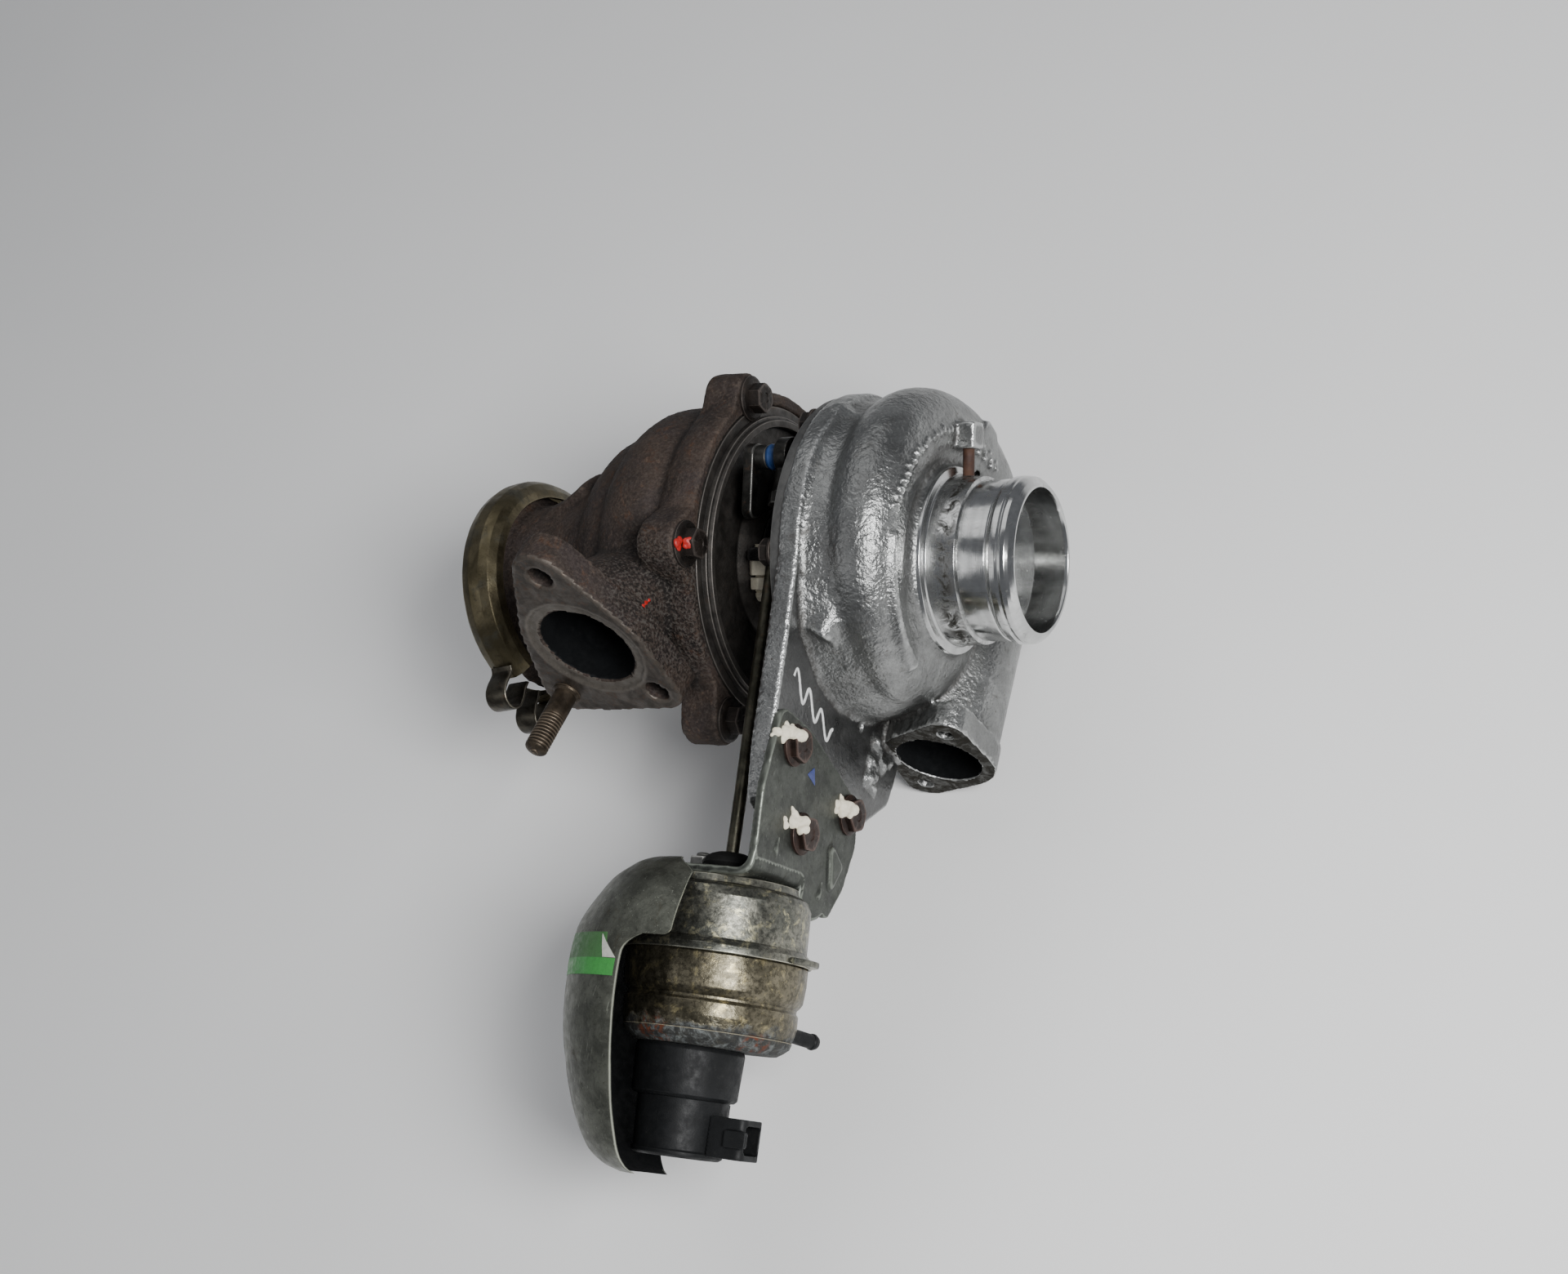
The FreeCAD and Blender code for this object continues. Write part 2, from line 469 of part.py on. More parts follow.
def turbine_housing():
    ring = turned([(TURBINE_FACE, 53.2), (TURBINE_FACE, 57.5), (-104, 58.5), (-110, 56), (-116, 50),
                   (-124, 44),
                   (-134, 47), (-146, 43.5), (-153, 38), (-153, 20), (TURBINE_FACE, 20)])
    snail = scroll(TURBINE_SCROLL, VOLUTE_X)
    first = TURBINE_SCROLL[0]
    duct_start = polar(VOLUTE_X, first[1], math.radians(first[0]))
    a0 = math.radians(first[0])
    duct = Part.makeLoft([circle_wire(duct_start, V(0, -math.sin(a0), math.cos(a0)), first[2]),
                          circle_wire(manifold_point(0, 0, 18), MANIFOLD_NORMAL, 21.0),
                          circle_wire(manifold_point(0, 0, 2), MANIFOLD_NORMAL, 21.0)], True, True)
    top, right, left = MANIFOLD_HOLES
    lobes = [[(0, 0, 24.0), (top[0], top[1], 10.0)],
             [(0, 0, 24.0), (right[0], right[1], 8.7), (left[0], left[1], 9.5)]]
    flange = fused([hull_plate(circles, MANIFOLD_CENTRE, MANIFOLD_U, MANIFOLD_W, MANIFOLD_NORMAL * -11.0)
                    for circles in lobes])
    out_n = OUTLET_RING_NORMAL
    neck = Part.makeLoft([circle_wire(V(-151, -2, 0), X_AXIS, 37.5),
                          circle_wire(V(-165, -6, -1), (X_AXIS + out_n).normalize(), 31.5),
                          circle_wire(OUTLET_RING_CENTRE - out_n * 4, out_n, 30.8)], True, False)
    lip = Part.makeCone(31.0, 35.5, 4.5, OUTLET_RING_CENTRE, out_n * -1)
    lip_end = Part.makeCylinder(35.5, 2.5, OUTLET_RING_CENTRE - out_n * 4.5, out_n * -1)
    ears = []
    for degrees, radius in TURBINE_BOLTS:
        a = math.radians(degrees)
        ears.append(hull_plate([(radius, 0, 8.6), (44, 0, 17.0)], V(TURBINE_FACE, 0, 0),
                               V(0, math.cos(a), math.sin(a)), V(0, -math.sin(a), math.cos(a)),
                               V(-13.5, 0, 0)))
    body = fused([ring] + ears)
    for piece in (snail, duct, flange, neck, lip, lip_end):
        body = body.fuse(piece)
    pocket = turned([(1 + TURBINE_FACE, FLANGE_R + 0.2), (FLANGE_BACK, FLANGE_R + 0.2), (FLANGE_BACK, 50.2),
                     (-107.7, 50.2), (-107.7, 46.7), (-107.7, 0), (1 + TURBINE_FACE, 0)])
    nozzle_gap = turned([(-107.6, 0), (-107.6, 46.6), (-114.3, 46.6), (-114.3, 24.0), (-118, 21.9),
                         (-124, 19.3), (-130, 19.0), (-150, 24), (-166, 27.5), (-166, 0)])
    outlet_bore = Part.makeLoft([circle_wire(V(-163, -5, -1), (X_AXIS + out_n).normalize(), 27.5),
                                 circle_wire(OUTLET_RING_CENTRE + out_n * 0.5, out_n, 28.3)], True, False)
    straight_out = rod(OUTLET_RING_CENTRE - out_n * 9.5, OUTLET_RING_CENTRE + out_n * 1.0, 29.0)
    hollow = scroll([(a, c + 2.0, r - 4.5) for a, c, r in TURBINE_SCROLL], VOLUTE_X)
    duct_bore = Part.makeLoft([circle_wire(duct_start + V(0, -0.9, 1.7), V(0, -math.sin(a0), math.cos(a0)),
                                           first[2] - 4.5),
                               circle_wire(manifold_point(0, 0, 13), MANIFOLD_NORMAL,
                                           MANIFOLD_BORE_R - 0.6)], True, True)
    mouth = rod(manifold_point(0, 0, 14.2), manifold_point(0, 0, -1), MANIFOLD_BORE_R)
    groove = rod(manifold_point(0, 0, 0.8), manifold_point(0, 0, -1), 20.5)
    tools = [pocket, nozzle_gap, outlet_bore, straight_out, hollow, duct_bore, mouth, groove]
    for u, w in (top, right):
        tools.append(rod(manifold_point(u, w, 12.5), manifold_point(u, w, -1), HOLE_R))
    stud_mouth = manifold_point(left[0], left[1], -1)
    tools.append(rod(manifold_point(left[0], left[1], 16), stud_mouth, STUD_ROOT_R + 0.02))
    tools.append(rod(manifold_point(left[0], left[1], 0.8), stud_mouth, HOLE_R))
    for degrees, radius in TURBINE_BOLTS:
        p = polar(TURBINE_FACE, radius, math.radians(degrees))
        tools.append(rod(p + V(1, 0, 0), p - V(11, 0, 0), 3.0))
    return cut_all(body, tools)


save("turbine_housing", turbine_housing())
save("turbine_bolts", Part.makeCompound([
    bolt(polar(TURBINE_FACE, radius, math.radians(degrees)), X_AXIS, 2.95, 10.5, 9.0, 7.6, 6.0)
    for degrees, radius in TURBINE_BOLTS]))
STUD_U, STUD_W = MANIFOLD_HOLES[2]
save("manifold_stud", fused([
    rod(manifold_point(STUD_U, STUD_W, 15.5), manifold_point(STUD_U, STUD_W, -0.5), STUD_ROOT_R),
    rod(manifold_point(STUD_U, STUD_W, 0.0), manifold_point(STUD_U, STUD_W, -26.0), 3.95)]))


# ---- outlet clamp ------------------------------------------------------------------------
def outlet_clamp():
    n = OUTLET_RING_NORMAL
    profile = [(2.0, 33.4), (0.8, 37.6), (-3.0, 40.2), (-8.5, 40.4), (-12.5, 38.5), (-14.5, 34.6),
               (-13.3, 34.2),
               (-11.5, 37.4), (-8.2, 38.8), (-3.3, 38.6), (-0.2, 36.6), (0.8, 33.0)]
    band = turned(profile, OUTLET_RING_CENTRE, n)
    side = V(0, 0, 1)
    side = (side - n * side.dot(n)).normalize()
    down = n.cross(side).normalize()
    if down.y > 0:
        down = down * -1
    opening = Part.makeBox(30, 14, 20, V(-15, -7, 30))
    place = FreeCAD.Placement(OUTLET_RING_CENTRE - n * 6, FreeCAD.Rotation(n, side, down, "ZXY"))
    opening.Placement = place
    band = band.cut(opening)
    return band, side, down


clamp_band, clamp_side, clamp_down = outlet_clamp()
save("outlet_clamp", clamp_band)
clamp_eyes = []
for clamp_sign in (1, -1):
    eye_centre = OUTLET_RING_CENTRE - OUTLET_RING_NORMAL * 6 + clamp_side * (8.5 * clamp_sign) + clamp_down * 46.0
    outer = rod(eye_centre - OUTLET_RING_NORMAL * 5, eye_centre + OUTLET_RING_NORMAL * 5, 5.2)
    tab = plate([eye_centre - OUTLET_RING_NORMAL * 5 + clamp_side * (s * 5.2) + clamp_down * t
                 for s, t in ((-1, 0), (1, 0), (1, -5.0), (-1, -5.0))], 0.5, OUTLET_RING_NORMAL * 10)
    hole = rod(eye_centre - OUTLET_RING_NORMAL * 6, eye_centre + OUTLET_RING_NORMAL * 6, 3.8)
    slot = plate([eye_centre - OUTLET_RING_NORMAL * 6 + clamp_side * (s * 3.8) + clamp_down * t
                  for s, t in ((-1, 1), (1, 1), (1, -3.6), (-1, -3.6))], 0.5, OUTLET_RING_NORMAL * 12)
    clamp_eyes.append(fused([outer, tab]).cut(hole).cut(slot))
save("outlet_clamp_eyes", Part.makeCompound(clamp_eyes))


# ---- actuator ---------------------------------------------------------------------------------
def on_axis(along, x=0.0, side=0.0):
    """A point in the actuator's own frame: along the rod, along X and sideways."""
    return SHELF + ROD_DIR * along + X_AXIS * x + ROD_SIDE * side


def turned_can(profile, shift=V(0, 0, 0)):
    return turned(profile, SHELF + shift, ROD_DIR)


BRACKET_T = 2.5
FOOT_LEVEL = -BRACKET_T - 1.3    # upper side of the heat shield's foot, which lies on the bracket's shelf
BRACKET_OUT = WEB_FRONT + BRACKET_T


def bracket():
    face_outline = [(-73.5, 36.5), (-71.5, 17), (-77, -24), (-90, -30.5), (-106, -29), (-120.5, -23),
                    (-112.5, -13.6),
                    (-106.8, -9.5), (-117.1, 30.1), (-101, 35)]
    face = plate([V(WEB_FRONT, y, z) for y, z in face_outline], [4, 7, 7, 5, 8, 3, 2, 2, 1, 12],
                 V(BRACKET_T, 0, 0))
    shelf_corners = [(12, -20.5), (12, 20.5), (-4, 22.5), (-19, 15), (-25, 2), (-21, -14), (-6, -21.5)]
    shelf = plate([on_axis(-BRACKET_T, x, side) for x, side in shelf_corners], [1, 1, 8, 8, 7, 8, 8],
                  ROD_DIR * BRACKET_T)
    bend_edge = BRACKET_OUT - ROD_X
    profile = [on_axis(-9, bend_edge - BRACKET_T, -20.5), on_axis(-9, bend_edge, -20.5),
               on_axis(0, bend_edge, -20.5),
               on_axis(0, 11, -20.5), on_axis(-BRACKET_T, 11, -20.5),
               on_axis(-BRACKET_T, bend_edge - BRACKET_T, -20.5)]
    bend = plate(profile, [0.2, 0.2, 6.0, 0.2, 0.2, 3.5], ROD_SIDE * 41.0)
    rib = [V(BRACKET_OUT - 0.5, -112, -20), V(BRACKET_OUT - 0.5, -96, -12), V(BRACKET_OUT - 0.5, -100, -24)]
    gusset = plate(rib, 1.5, V(1.8, 0, 0))
    plate_all = fused([face, shelf, bend, gusset])
    tools = [rod(on_axis(-10), on_axis(10), 7.0)]
    for p in BRACKET_BOLTS:
        tools.append(x_rod(WEB_FRONT - 1, BRACKET_OUT + 1, 3.3, p.y, p.z))
    for x, side in CAN_STUDS:
        tools.append(rod(on_axis(-10, x, side), on_axis(10, x, side), 2.7))
    return cut_all(plate_all, tools)


CAN_STUDS = [(-15.0, -8.5), (3.5, -16.0)]
save("actuator_bracket", bracket())
save("bracket_bolts", Part.makeCompound([
    bolt(V(BRACKET_OUT, p.y, p.z), X_AXIS, 2.95, 9.0, 10.0, 6.6, 5.2) for p in BRACKET_BOLTS]))
NUT_SEATS = [FOOT_LEVEL - 0.05, -BRACKET_T]
save("actuator_nuts", Part.makeCompound([
    hex_prism(on_axis(seat, x, side), on_axis(seat - 4.5, x, side), 8.0).cut(
        rod(on_axis(-20, x, side), on_axis(5, x, side), 2.5))
        for seat, (x, side) in zip(NUT_SEATS, CAN_STUDS)]))

NIPPLE_ROOT = on_axis(SEAM + 20.0, 16.0, -17.0)
NIPPLE_DIR = (X_AXIS * 0.35 - ROD_SIDE * 0.93 + ROD_DIR * 0.1).normalize()


def upper_can():
    shell = turned_can([(0, 7.5), (0, 21.5), (3.0, 22.2), (3.6, 24.2), (6.5, CAN_R - 0.3),
                        (SEAM - 3, CAN_R), (SEAM - 1.2, 29.0), (SEAM + 1.0, 29.0), (SEAM + 1.0, 28.0),
                        (SEAM, 27.6), (SEAM, CAN_R - SKIN), (7.2, CAN_R - SKIN - 0.3), (4.6, 22.6),
                        (SKIN, 20.8),
                        (SKIN, 7.5)])
    studs = [rod(on_axis(0.4, x, side), on_axis(seat - 6.0, x, side), 2.5)
             for seat, (x, side) in zip(NUT_SEATS, CAN_STUDS)]
    tab = plate([on_axis(SEAM - 1.2, 24, -10), on_axis(SEAM - 1.2, 33, -6), on_axis(SEAM - 1.2, 33, 3),
                 on_axis(SEAM - 1.2, 24, 8)], [1, 3, 3, 1], ROD_DIR * 2.2)
    tab = tab.cut(rod(on_axis(0), on_axis(60), 28.5))
    return fused([shell, tab] + studs)


def lower_can():
    can = turned_can([(SEAM + 0.2, 25.0), (SEAM + 0.2, 27.4), (SEAM + 1.2, 28.0), (SEAM + 12, 27.4),
                       (SEAM + 14.5, 26.0), (SEAM + 17, 26.4), (SEAM + 23, 25.6), (LOWER_END - 3, 23.5),
                       (LOWER_END, 21.5), (LOWER_END, 6), (LOWER_END - SKIN, 6), (LOWER_END - SKIN, 20.6),
                       (LOWER_END - 3.9, 22.3), (SEAM + 22.4, 24.4), (SEAM + 16.6, 25.2),
                        (SEAM + 14.4, 24.8),
                       (SEAM + 11.6, 26.2), (SEAM + 2, 26.6), (SEAM + 1.2, 25.0)])
    return can.cut(rod(NIPPLE_ROOT - NIPPLE_DIR, NIPPLE_ROOT + NIPPLE_DIR * 16, 3.45))


PLATE_AT = 9.0               # piston plate at rest, from the shelf
save("actuator_upper_can", upper_can())
save("actuator_lower_can", lower_can())
save("piston_plate", turned_can([(PLATE_AT, ROD_R), (PLATE_AT, 19.0), (PLATE_AT + 8, 19.0),
                                 (PLATE_AT + 8, 18.0),
                                 (PLATE_AT + 1, 18.0), (PLATE_AT + 1, ROD_R)]))
save("diaphragm", turned_can([(PLATE_AT + 1.5, 19.2), (PLATE_AT + 1.5, 20.0), (SEAM - 2.5, 25.3),
                              (SEAM - 0.2, 25.6),
                              (SEAM + 0.15, 25.6), (SEAM + 0.15, 24.4), (SEAM - 2.0, 24.4)]))


def spring():
    """The return spring, as a closed sleeve of the coil's size."""
    return turned_can([(PLATE_AT + 1.2, 15.0), (PLATE_AT + 1.2, 17.2), (LOWER_END - SKIN - 0.2, 17.2),
                       (LOWER_END - SKIN - 0.2, 15.0)])


save("actuator_spring", spring())
rest_along = (REST_EYE - SHELF).dot(ROD_DIR)
save("actuator_rod", rod(on_axis(rest_along + 5.6), on_axis(PLATE_AT + 16), ROD_R))
save("sensor_magnet", rod(on_axis(PLATE_AT + 16), on_axis(PLATE_AT + 31), 4.0))
EYE_LIFT = CRANK_ARM * math.cos(HALF_SWING) - ROD_OFFSET
PIN_REST = REST_EYE + ROD_SIDE * EYE_LIFT
PIN_R = 2.5
EYE_CLEARANCE = 0.45
eye_top = rod(REST_EYE + V(-2.2, 0, 0), REST_EYE + V(2.2, 0, 0), 6.2)
eye_neck = rod(on_axis(rest_along + 4.8), on_axis(rest_along + 13.0), 3.4)
eye_hole = rod(REST_EYE + V(-5, 0, 0), REST_EYE + V(5, 0, 0), PIN_R + EYE_CLEARANCE)
eye_thread = rod(on_axis(rest_along + 5.6), on_axis(20), ROD_R)
save("rod_eye", fused([eye_top, eye_neck]).cut(eye_hole).cut(eye_thread))
save("rod_lock_nut", hex_prism(on_axis(rest_along + 13.1), on_axis(rest_along + 17.1), 8.0).cut(eye_thread))
save("rod_boot", turned_can([(-3.0, 3.0), (-3.0, 6.6), (-4.2, 7.6), (-5.6, 8.6), (-7.0, 8.0),
                             (-8.2, 6.2), (-9.0, 4.4),
                             (-9.0, 3.0)]))
save("rod_bush", turned_can([(-2.4, ROD_R + FIT), (-2.4, 6.9), (4.5, 6.9), (4.5, ROD_R + FIT)]))

# ---- crank and stop ---------------------------------------------------------------------------------
TAIL_R = 18.5
TAIL_SWING = math.radians(147.9)
tail_tip = V(CRANK_ARM_X[0], CRANK_CENTRE.y + TAIL_R * math.cos(TAIL_SWING),
             CRANK_CENTRE.z + TAIL_R * math.sin(TAIL_SWING))


def crank_plate():
    thick = V(CRANK_ARM_X[1] - CRANK_ARM_X[0], 0, 0)
    hub = (CRANK_CENTRE.y, CRANK_CENTRE.z, 6.4)
    pin = (PIN_REST.y, PIN_REST.z, 4.6)
    tail = (tail_tip.y, tail_tip.z, 3.0)
    body = hull_plate([hub, pin, tail], V(CRANK_ARM_X[0], 0, 0), V(0, 1, 0), V(0, 0, 1), thick)
    body = body.cut(x_rod(-95, -80, 3.5, CRANK_CENTRE.y, CRANK_CENTRE.z))
    return body.cut(x_rod(-95, -80, PIN_R, PIN_REST.y, PIN_REST.z))


save("crank_arm", crank_plate())
save("lever_pin", fused([x_rod(-90.6, -72.6, PIN_R, PIN_REST.y, PIN_REST.z),
                         x_rod(CRANK_ARM_X[1], -82.6, 4.0, PIN_REST.y, PIN_REST.z)]))
save("pin_clip", x_tube(-82.4, -78.6, 4.3, PIN_R, PIN_REST.y, PIN_REST.z))
crank_shaft = x_rod(-101.6, CRANK_ARM_X[1] + 0.4, 3.5, CRANK_CENTRE.y, CRANK_CENTRE.z)
save("crank_shaft", Part.makeCompound([crank_shaft, nozzle_arm(CRANK_ANGLE)]))
save("crank_bush", x_tube(-101.0, -90.6, 5.0, 3.5 + FIT, CRANK_CENTRE.y, CRANK_CENTRE.z))

STOP_NUT_AF = 8.0
stop_tip = STOP_LINE + CRANK_STOP_DIR * 6.4
stop_screw = fused([rod(STOP_LINE - CRANK_STOP_DIR * 9.0, stop_tip, 2.5),
                    hex_prism(STOP_LINE - CRANK_STOP_DIR * 8.5, STOP_LINE - CRANK_STOP_DIR * 4.6, 7.0),
                    Part.makeCone(2.5, 1.0, 3.5, STOP_LINE - CRANK_STOP_DIR * 9.0, CRANK_STOP_DIR * -1)])
save("stop_screw", stop_screw)
save("stop_screw_nut", hex_prism(STOP_LINE - CRANK_STOP_DIR * 3.8, STOP_LINE + CRANK_STOP_DIR * 1.0,
                                 STOP_NUT_AF).cut(
    rod(STOP_LINE - CRANK_STOP_DIR * 8, STOP_LINE + CRANK_STOP_DIR * 8, 2.5)))


# ---- position sensor, nipple and heat shield -------------------------------------------------------------
def sensor_body():
    upper = turned_can([(LOWER_END, 5.5), (LOWER_END, 16.6), (LOWER_END + 15.5, 16.2),
                        (LOWER_END + 15.5, 5.5)],
                       SENSOR_SHIFT)
    lower = turned_can([(LOWER_END + 15.5, 5.5), (LOWER_END + 15.5, 14.0), (LOWER_END + 31.5, 13.4),
                        (LOWER_END + 33, 12.4), (LOWER_END + 33, 0), (LOWER_END + 29, 0),
                        (LOWER_END + 29, 5.5)],
                       SENSOR_SHIFT)
    return fused([upper, lower])


def sensor_socket():
    corners = [(11.5, -7.0), (25.0, -7.0), (25.0, 5.5), (11.5, 5.5)]
    block = plate([on_axis(LOWER_END + 19.5, x + SENSOR_SHIFT.x, side) for x, side in corners],
                  [1.5, 2.5, 2.5, 1.5], ROD_DIR * 12.0)
    block = block.cut(rod(on_axis(LOWER_END + 10, SENSOR_SHIFT.x),
                          on_axis(LOWER_END + 40, SENSOR_SHIFT.x), 13.95))
    mouth = plate([on_axis(LOWER_END + 21.3, SENSOR_SHIFT.x + 16.0, side) for side in (-5.2, 3.7)] +
                  [on_axis(LOWER_END + 29.7, SENSOR_SHIFT.x + 16.0, side) for side in (3.7, -5.2)], 1.2,
                  V(10.0, 0, 0))
    latch = plate([on_axis(LOWER_END + 23.0, SENSOR_SHIFT.x + 19.0, 5.3),
                   on_axis(LOWER_END + 23.0, SENSOR_SHIFT.x + 26.5, 5.3),
                   on_axis(LOWER_END + 28.0, SENSOR_SHIFT.x + 26.5, 5.3),
                   on_axis(LOWER_END + 28.0, SENSOR_SHIFT.x + 19.0, 5.3)], 0.8, ROD_SIDE * 1.8)
    return fused([block.cut(mouth), latch])


save("sensor_housing", sensor_body())
save("sensor_socket", sensor_socket())
terminals = []
for index in range(3):
    start = on_axis(LOWER_END + 23.1 + 2.4 * index, SENSOR_SHIFT.x + 16.05, -0.7)
    terminals.append(rod(start, start + V(4.4, 0, 0), 0.5))
save("sensor_terminals", Part.makeCompound(terminals))

nipple = fused([rod(NIPPLE_ROOT, NIPPLE_ROOT + NIPPLE_DIR * 15, 2.4),
                rod(NIPPLE_ROOT, NIPPLE_ROOT + NIPPLE_DIR * 3.5, 3.4)])
nipple = nipple.cut(rod(NIPPLE_ROOT - NIPPLE_DIR, NIPPLE_ROOT + NIPPLE_DIR * 17, 1.2)).cut(
    rod(on_axis(SEAM), on_axis(LOWER_END), 24.4))
save("vacuum_nipple", nipple)

SHIELD_T = 1.2
SHIELD_START = 80.0          # degrees from +X towards the rod's side direction
SHIELD_END = 222.0
SHIELD_EDGE = -8.0           # front edge of the long lower part, from the actuator's axis along X
SHIELD_PROFILE = [(FOOT_LEVEL, 25.5), (0.0, 26.5), (2.5, 30.0), (8.0, 35.8), (19.0, 42.0),
                  (29.0, 44.3), (45.0, 44.6),
                  (59.0, 42.2), (74.0, 38.0), (86.0, 32.0), (91.0, 26.5), (93.0, 21.0)]


def part_turn(profile, start_degrees, end_degrees):
    """A solid turned through part of a circle about the actuator's axis."""
    a = math.radians(start_degrees)
    out = X_AXIS * math.cos(a) + ROD_SIDE * math.sin(a)
    points = [on_axis(along) + out * radius for along, radius in profile]
    face = Part.Face(Part.makePolygon(points + [points[0]]))
    return face.revolve(on_axis(0), X_AXIS.cross(ROD_SIDE), end_degrees - start_degrees)


def heat_shield():
    """A pressed sheet that hugs one side of the actuator and closes in at its lower end."""
    outer = SHIELD_PROFILE
    inner = [(along, radius - SHIELD_T) for along, radius in reversed(outer)]
    shell = part_turn(outer + inner, SHIELD_START, SHIELD_END)
    step = plate([on_axis(SEAM - 1, x, side)
                  for x, side in ((SHIELD_EDGE, 18), (40, 18), (40, 60), (SHIELD_EDGE, 60))],
                 1, ROD_DIR * 90)
    foot_profile = [(FOOT_LEVEL, 10.0), (FOOT_LEVEL, 25.5), (FOOT_LEVEL + SHIELD_T, 25.5),
                    (FOOT_LEVEL + SHIELD_T, 10.0)]
    foot = part_turn(foot_profile, 165.0, SHIELD_END)
    x, side = CAN_STUDS[0]
    hole = rod(on_axis(FOOT_LEVEL - 1, x, side), on_axis(0, x, side), 2.8)
    return fused([shell.cut(step), foot]).cut(hole)


save("heat_shield", heat_shield())
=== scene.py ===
import bpy
import bmesh
import json
import math
import numpy as np
from mathutils import Vector, Matrix, noise

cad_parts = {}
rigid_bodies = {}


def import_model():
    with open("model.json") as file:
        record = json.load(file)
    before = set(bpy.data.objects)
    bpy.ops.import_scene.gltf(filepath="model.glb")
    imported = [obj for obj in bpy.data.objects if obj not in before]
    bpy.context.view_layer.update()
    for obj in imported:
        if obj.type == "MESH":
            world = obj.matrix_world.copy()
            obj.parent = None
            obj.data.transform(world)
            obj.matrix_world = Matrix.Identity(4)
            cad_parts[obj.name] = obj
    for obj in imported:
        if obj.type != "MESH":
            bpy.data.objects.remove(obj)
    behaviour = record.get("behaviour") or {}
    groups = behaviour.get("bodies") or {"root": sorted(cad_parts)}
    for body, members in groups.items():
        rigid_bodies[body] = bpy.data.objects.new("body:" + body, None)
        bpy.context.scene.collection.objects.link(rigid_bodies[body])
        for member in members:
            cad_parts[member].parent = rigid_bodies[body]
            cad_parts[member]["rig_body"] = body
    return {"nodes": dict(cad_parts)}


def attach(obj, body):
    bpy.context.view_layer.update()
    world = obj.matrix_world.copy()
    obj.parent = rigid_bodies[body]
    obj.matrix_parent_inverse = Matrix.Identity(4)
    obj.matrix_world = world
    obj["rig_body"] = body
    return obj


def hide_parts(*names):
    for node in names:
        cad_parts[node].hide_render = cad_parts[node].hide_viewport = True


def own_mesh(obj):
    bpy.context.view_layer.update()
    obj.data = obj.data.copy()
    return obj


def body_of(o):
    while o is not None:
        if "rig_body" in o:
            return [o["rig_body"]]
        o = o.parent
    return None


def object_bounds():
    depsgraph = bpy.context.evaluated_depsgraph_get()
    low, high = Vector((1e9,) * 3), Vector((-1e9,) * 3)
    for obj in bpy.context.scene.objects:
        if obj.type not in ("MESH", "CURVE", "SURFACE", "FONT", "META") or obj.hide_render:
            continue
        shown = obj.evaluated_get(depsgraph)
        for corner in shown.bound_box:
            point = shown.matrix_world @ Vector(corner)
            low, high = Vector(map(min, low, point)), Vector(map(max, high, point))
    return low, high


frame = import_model()
CAD_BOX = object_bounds()
NODES = frame["nodes"]
MM = 0.001

# ---- the frame of the CAD model, in millimetres ---------------------------------------
X_AXIS = Vector((1, 0, 0))
TILT = math.radians(14.7)
ROD_DIR = Vector((0, -math.cos(TILT), -math.sin(TILT)))
ROD_SIDE = Vector((0, -math.sin(TILT), math.cos(TILT)))
CRANK_ANGLE = math.radians(64.2)
CRANK_ARM = 16.0
HALF_SWING = math.asin(4.5 / CRANK_ARM)
CRANK = Vector((0, 30 * math.cos(CRANK_ANGLE), 30 * math.sin(CRANK_ANGLE)))
ROD_OFFSET = CRANK_ARM * (1 + math.cos(HALF_SWING)) / 2
MID_PIN = Vector((-76, CRANK.y, CRANK.z)) + ROD_SIDE * ROD_OFFSET
REST_EYE = MID_PIN - ROD_DIR * 4.5
SHELF = MID_PIN + ROD_DIR * 131.0
SEAM = 26.0
LOWER_END = 54.0
ORIGIN = Vector((0, 0, 0))
OUTLET_CENTRE = Vector((-43.0, -49.5, -47.5))
MANIFOLD_CENTRE = Vector((-127.6, -60.3, 45.9))
MANIFOLD_NORMAL = Vector((-0.051, -0.977, 0.206)).normalized()
MANIFOLD_U = (X_AXIS - MANIFOLD_NORMAL * X_AXIS.dot(MANIFOLD_NORMAL)).normalized()
MANIFOLD_W = -MANIFOLD_U.cross(MANIFOLD_NORMAL).normalized()
RING_CENTRE = Vector((-183.5, -10.0, -2.0))
RING_NORMAL = Vector((0.985, 0.109, 0.13)).normalized()


def on_axis(along, x=0.0, side=0.0):
    return SHELF + ROD_DIR * along + X_AXIS * x + ROD_SIDE * side


def manifold_point(u, w, depth=0.0):
    return MANIFOLD_CENTRE + MANIFOLD_U * u + MANIFOLD_W * w - MANIFOLD_NORMAL * depth


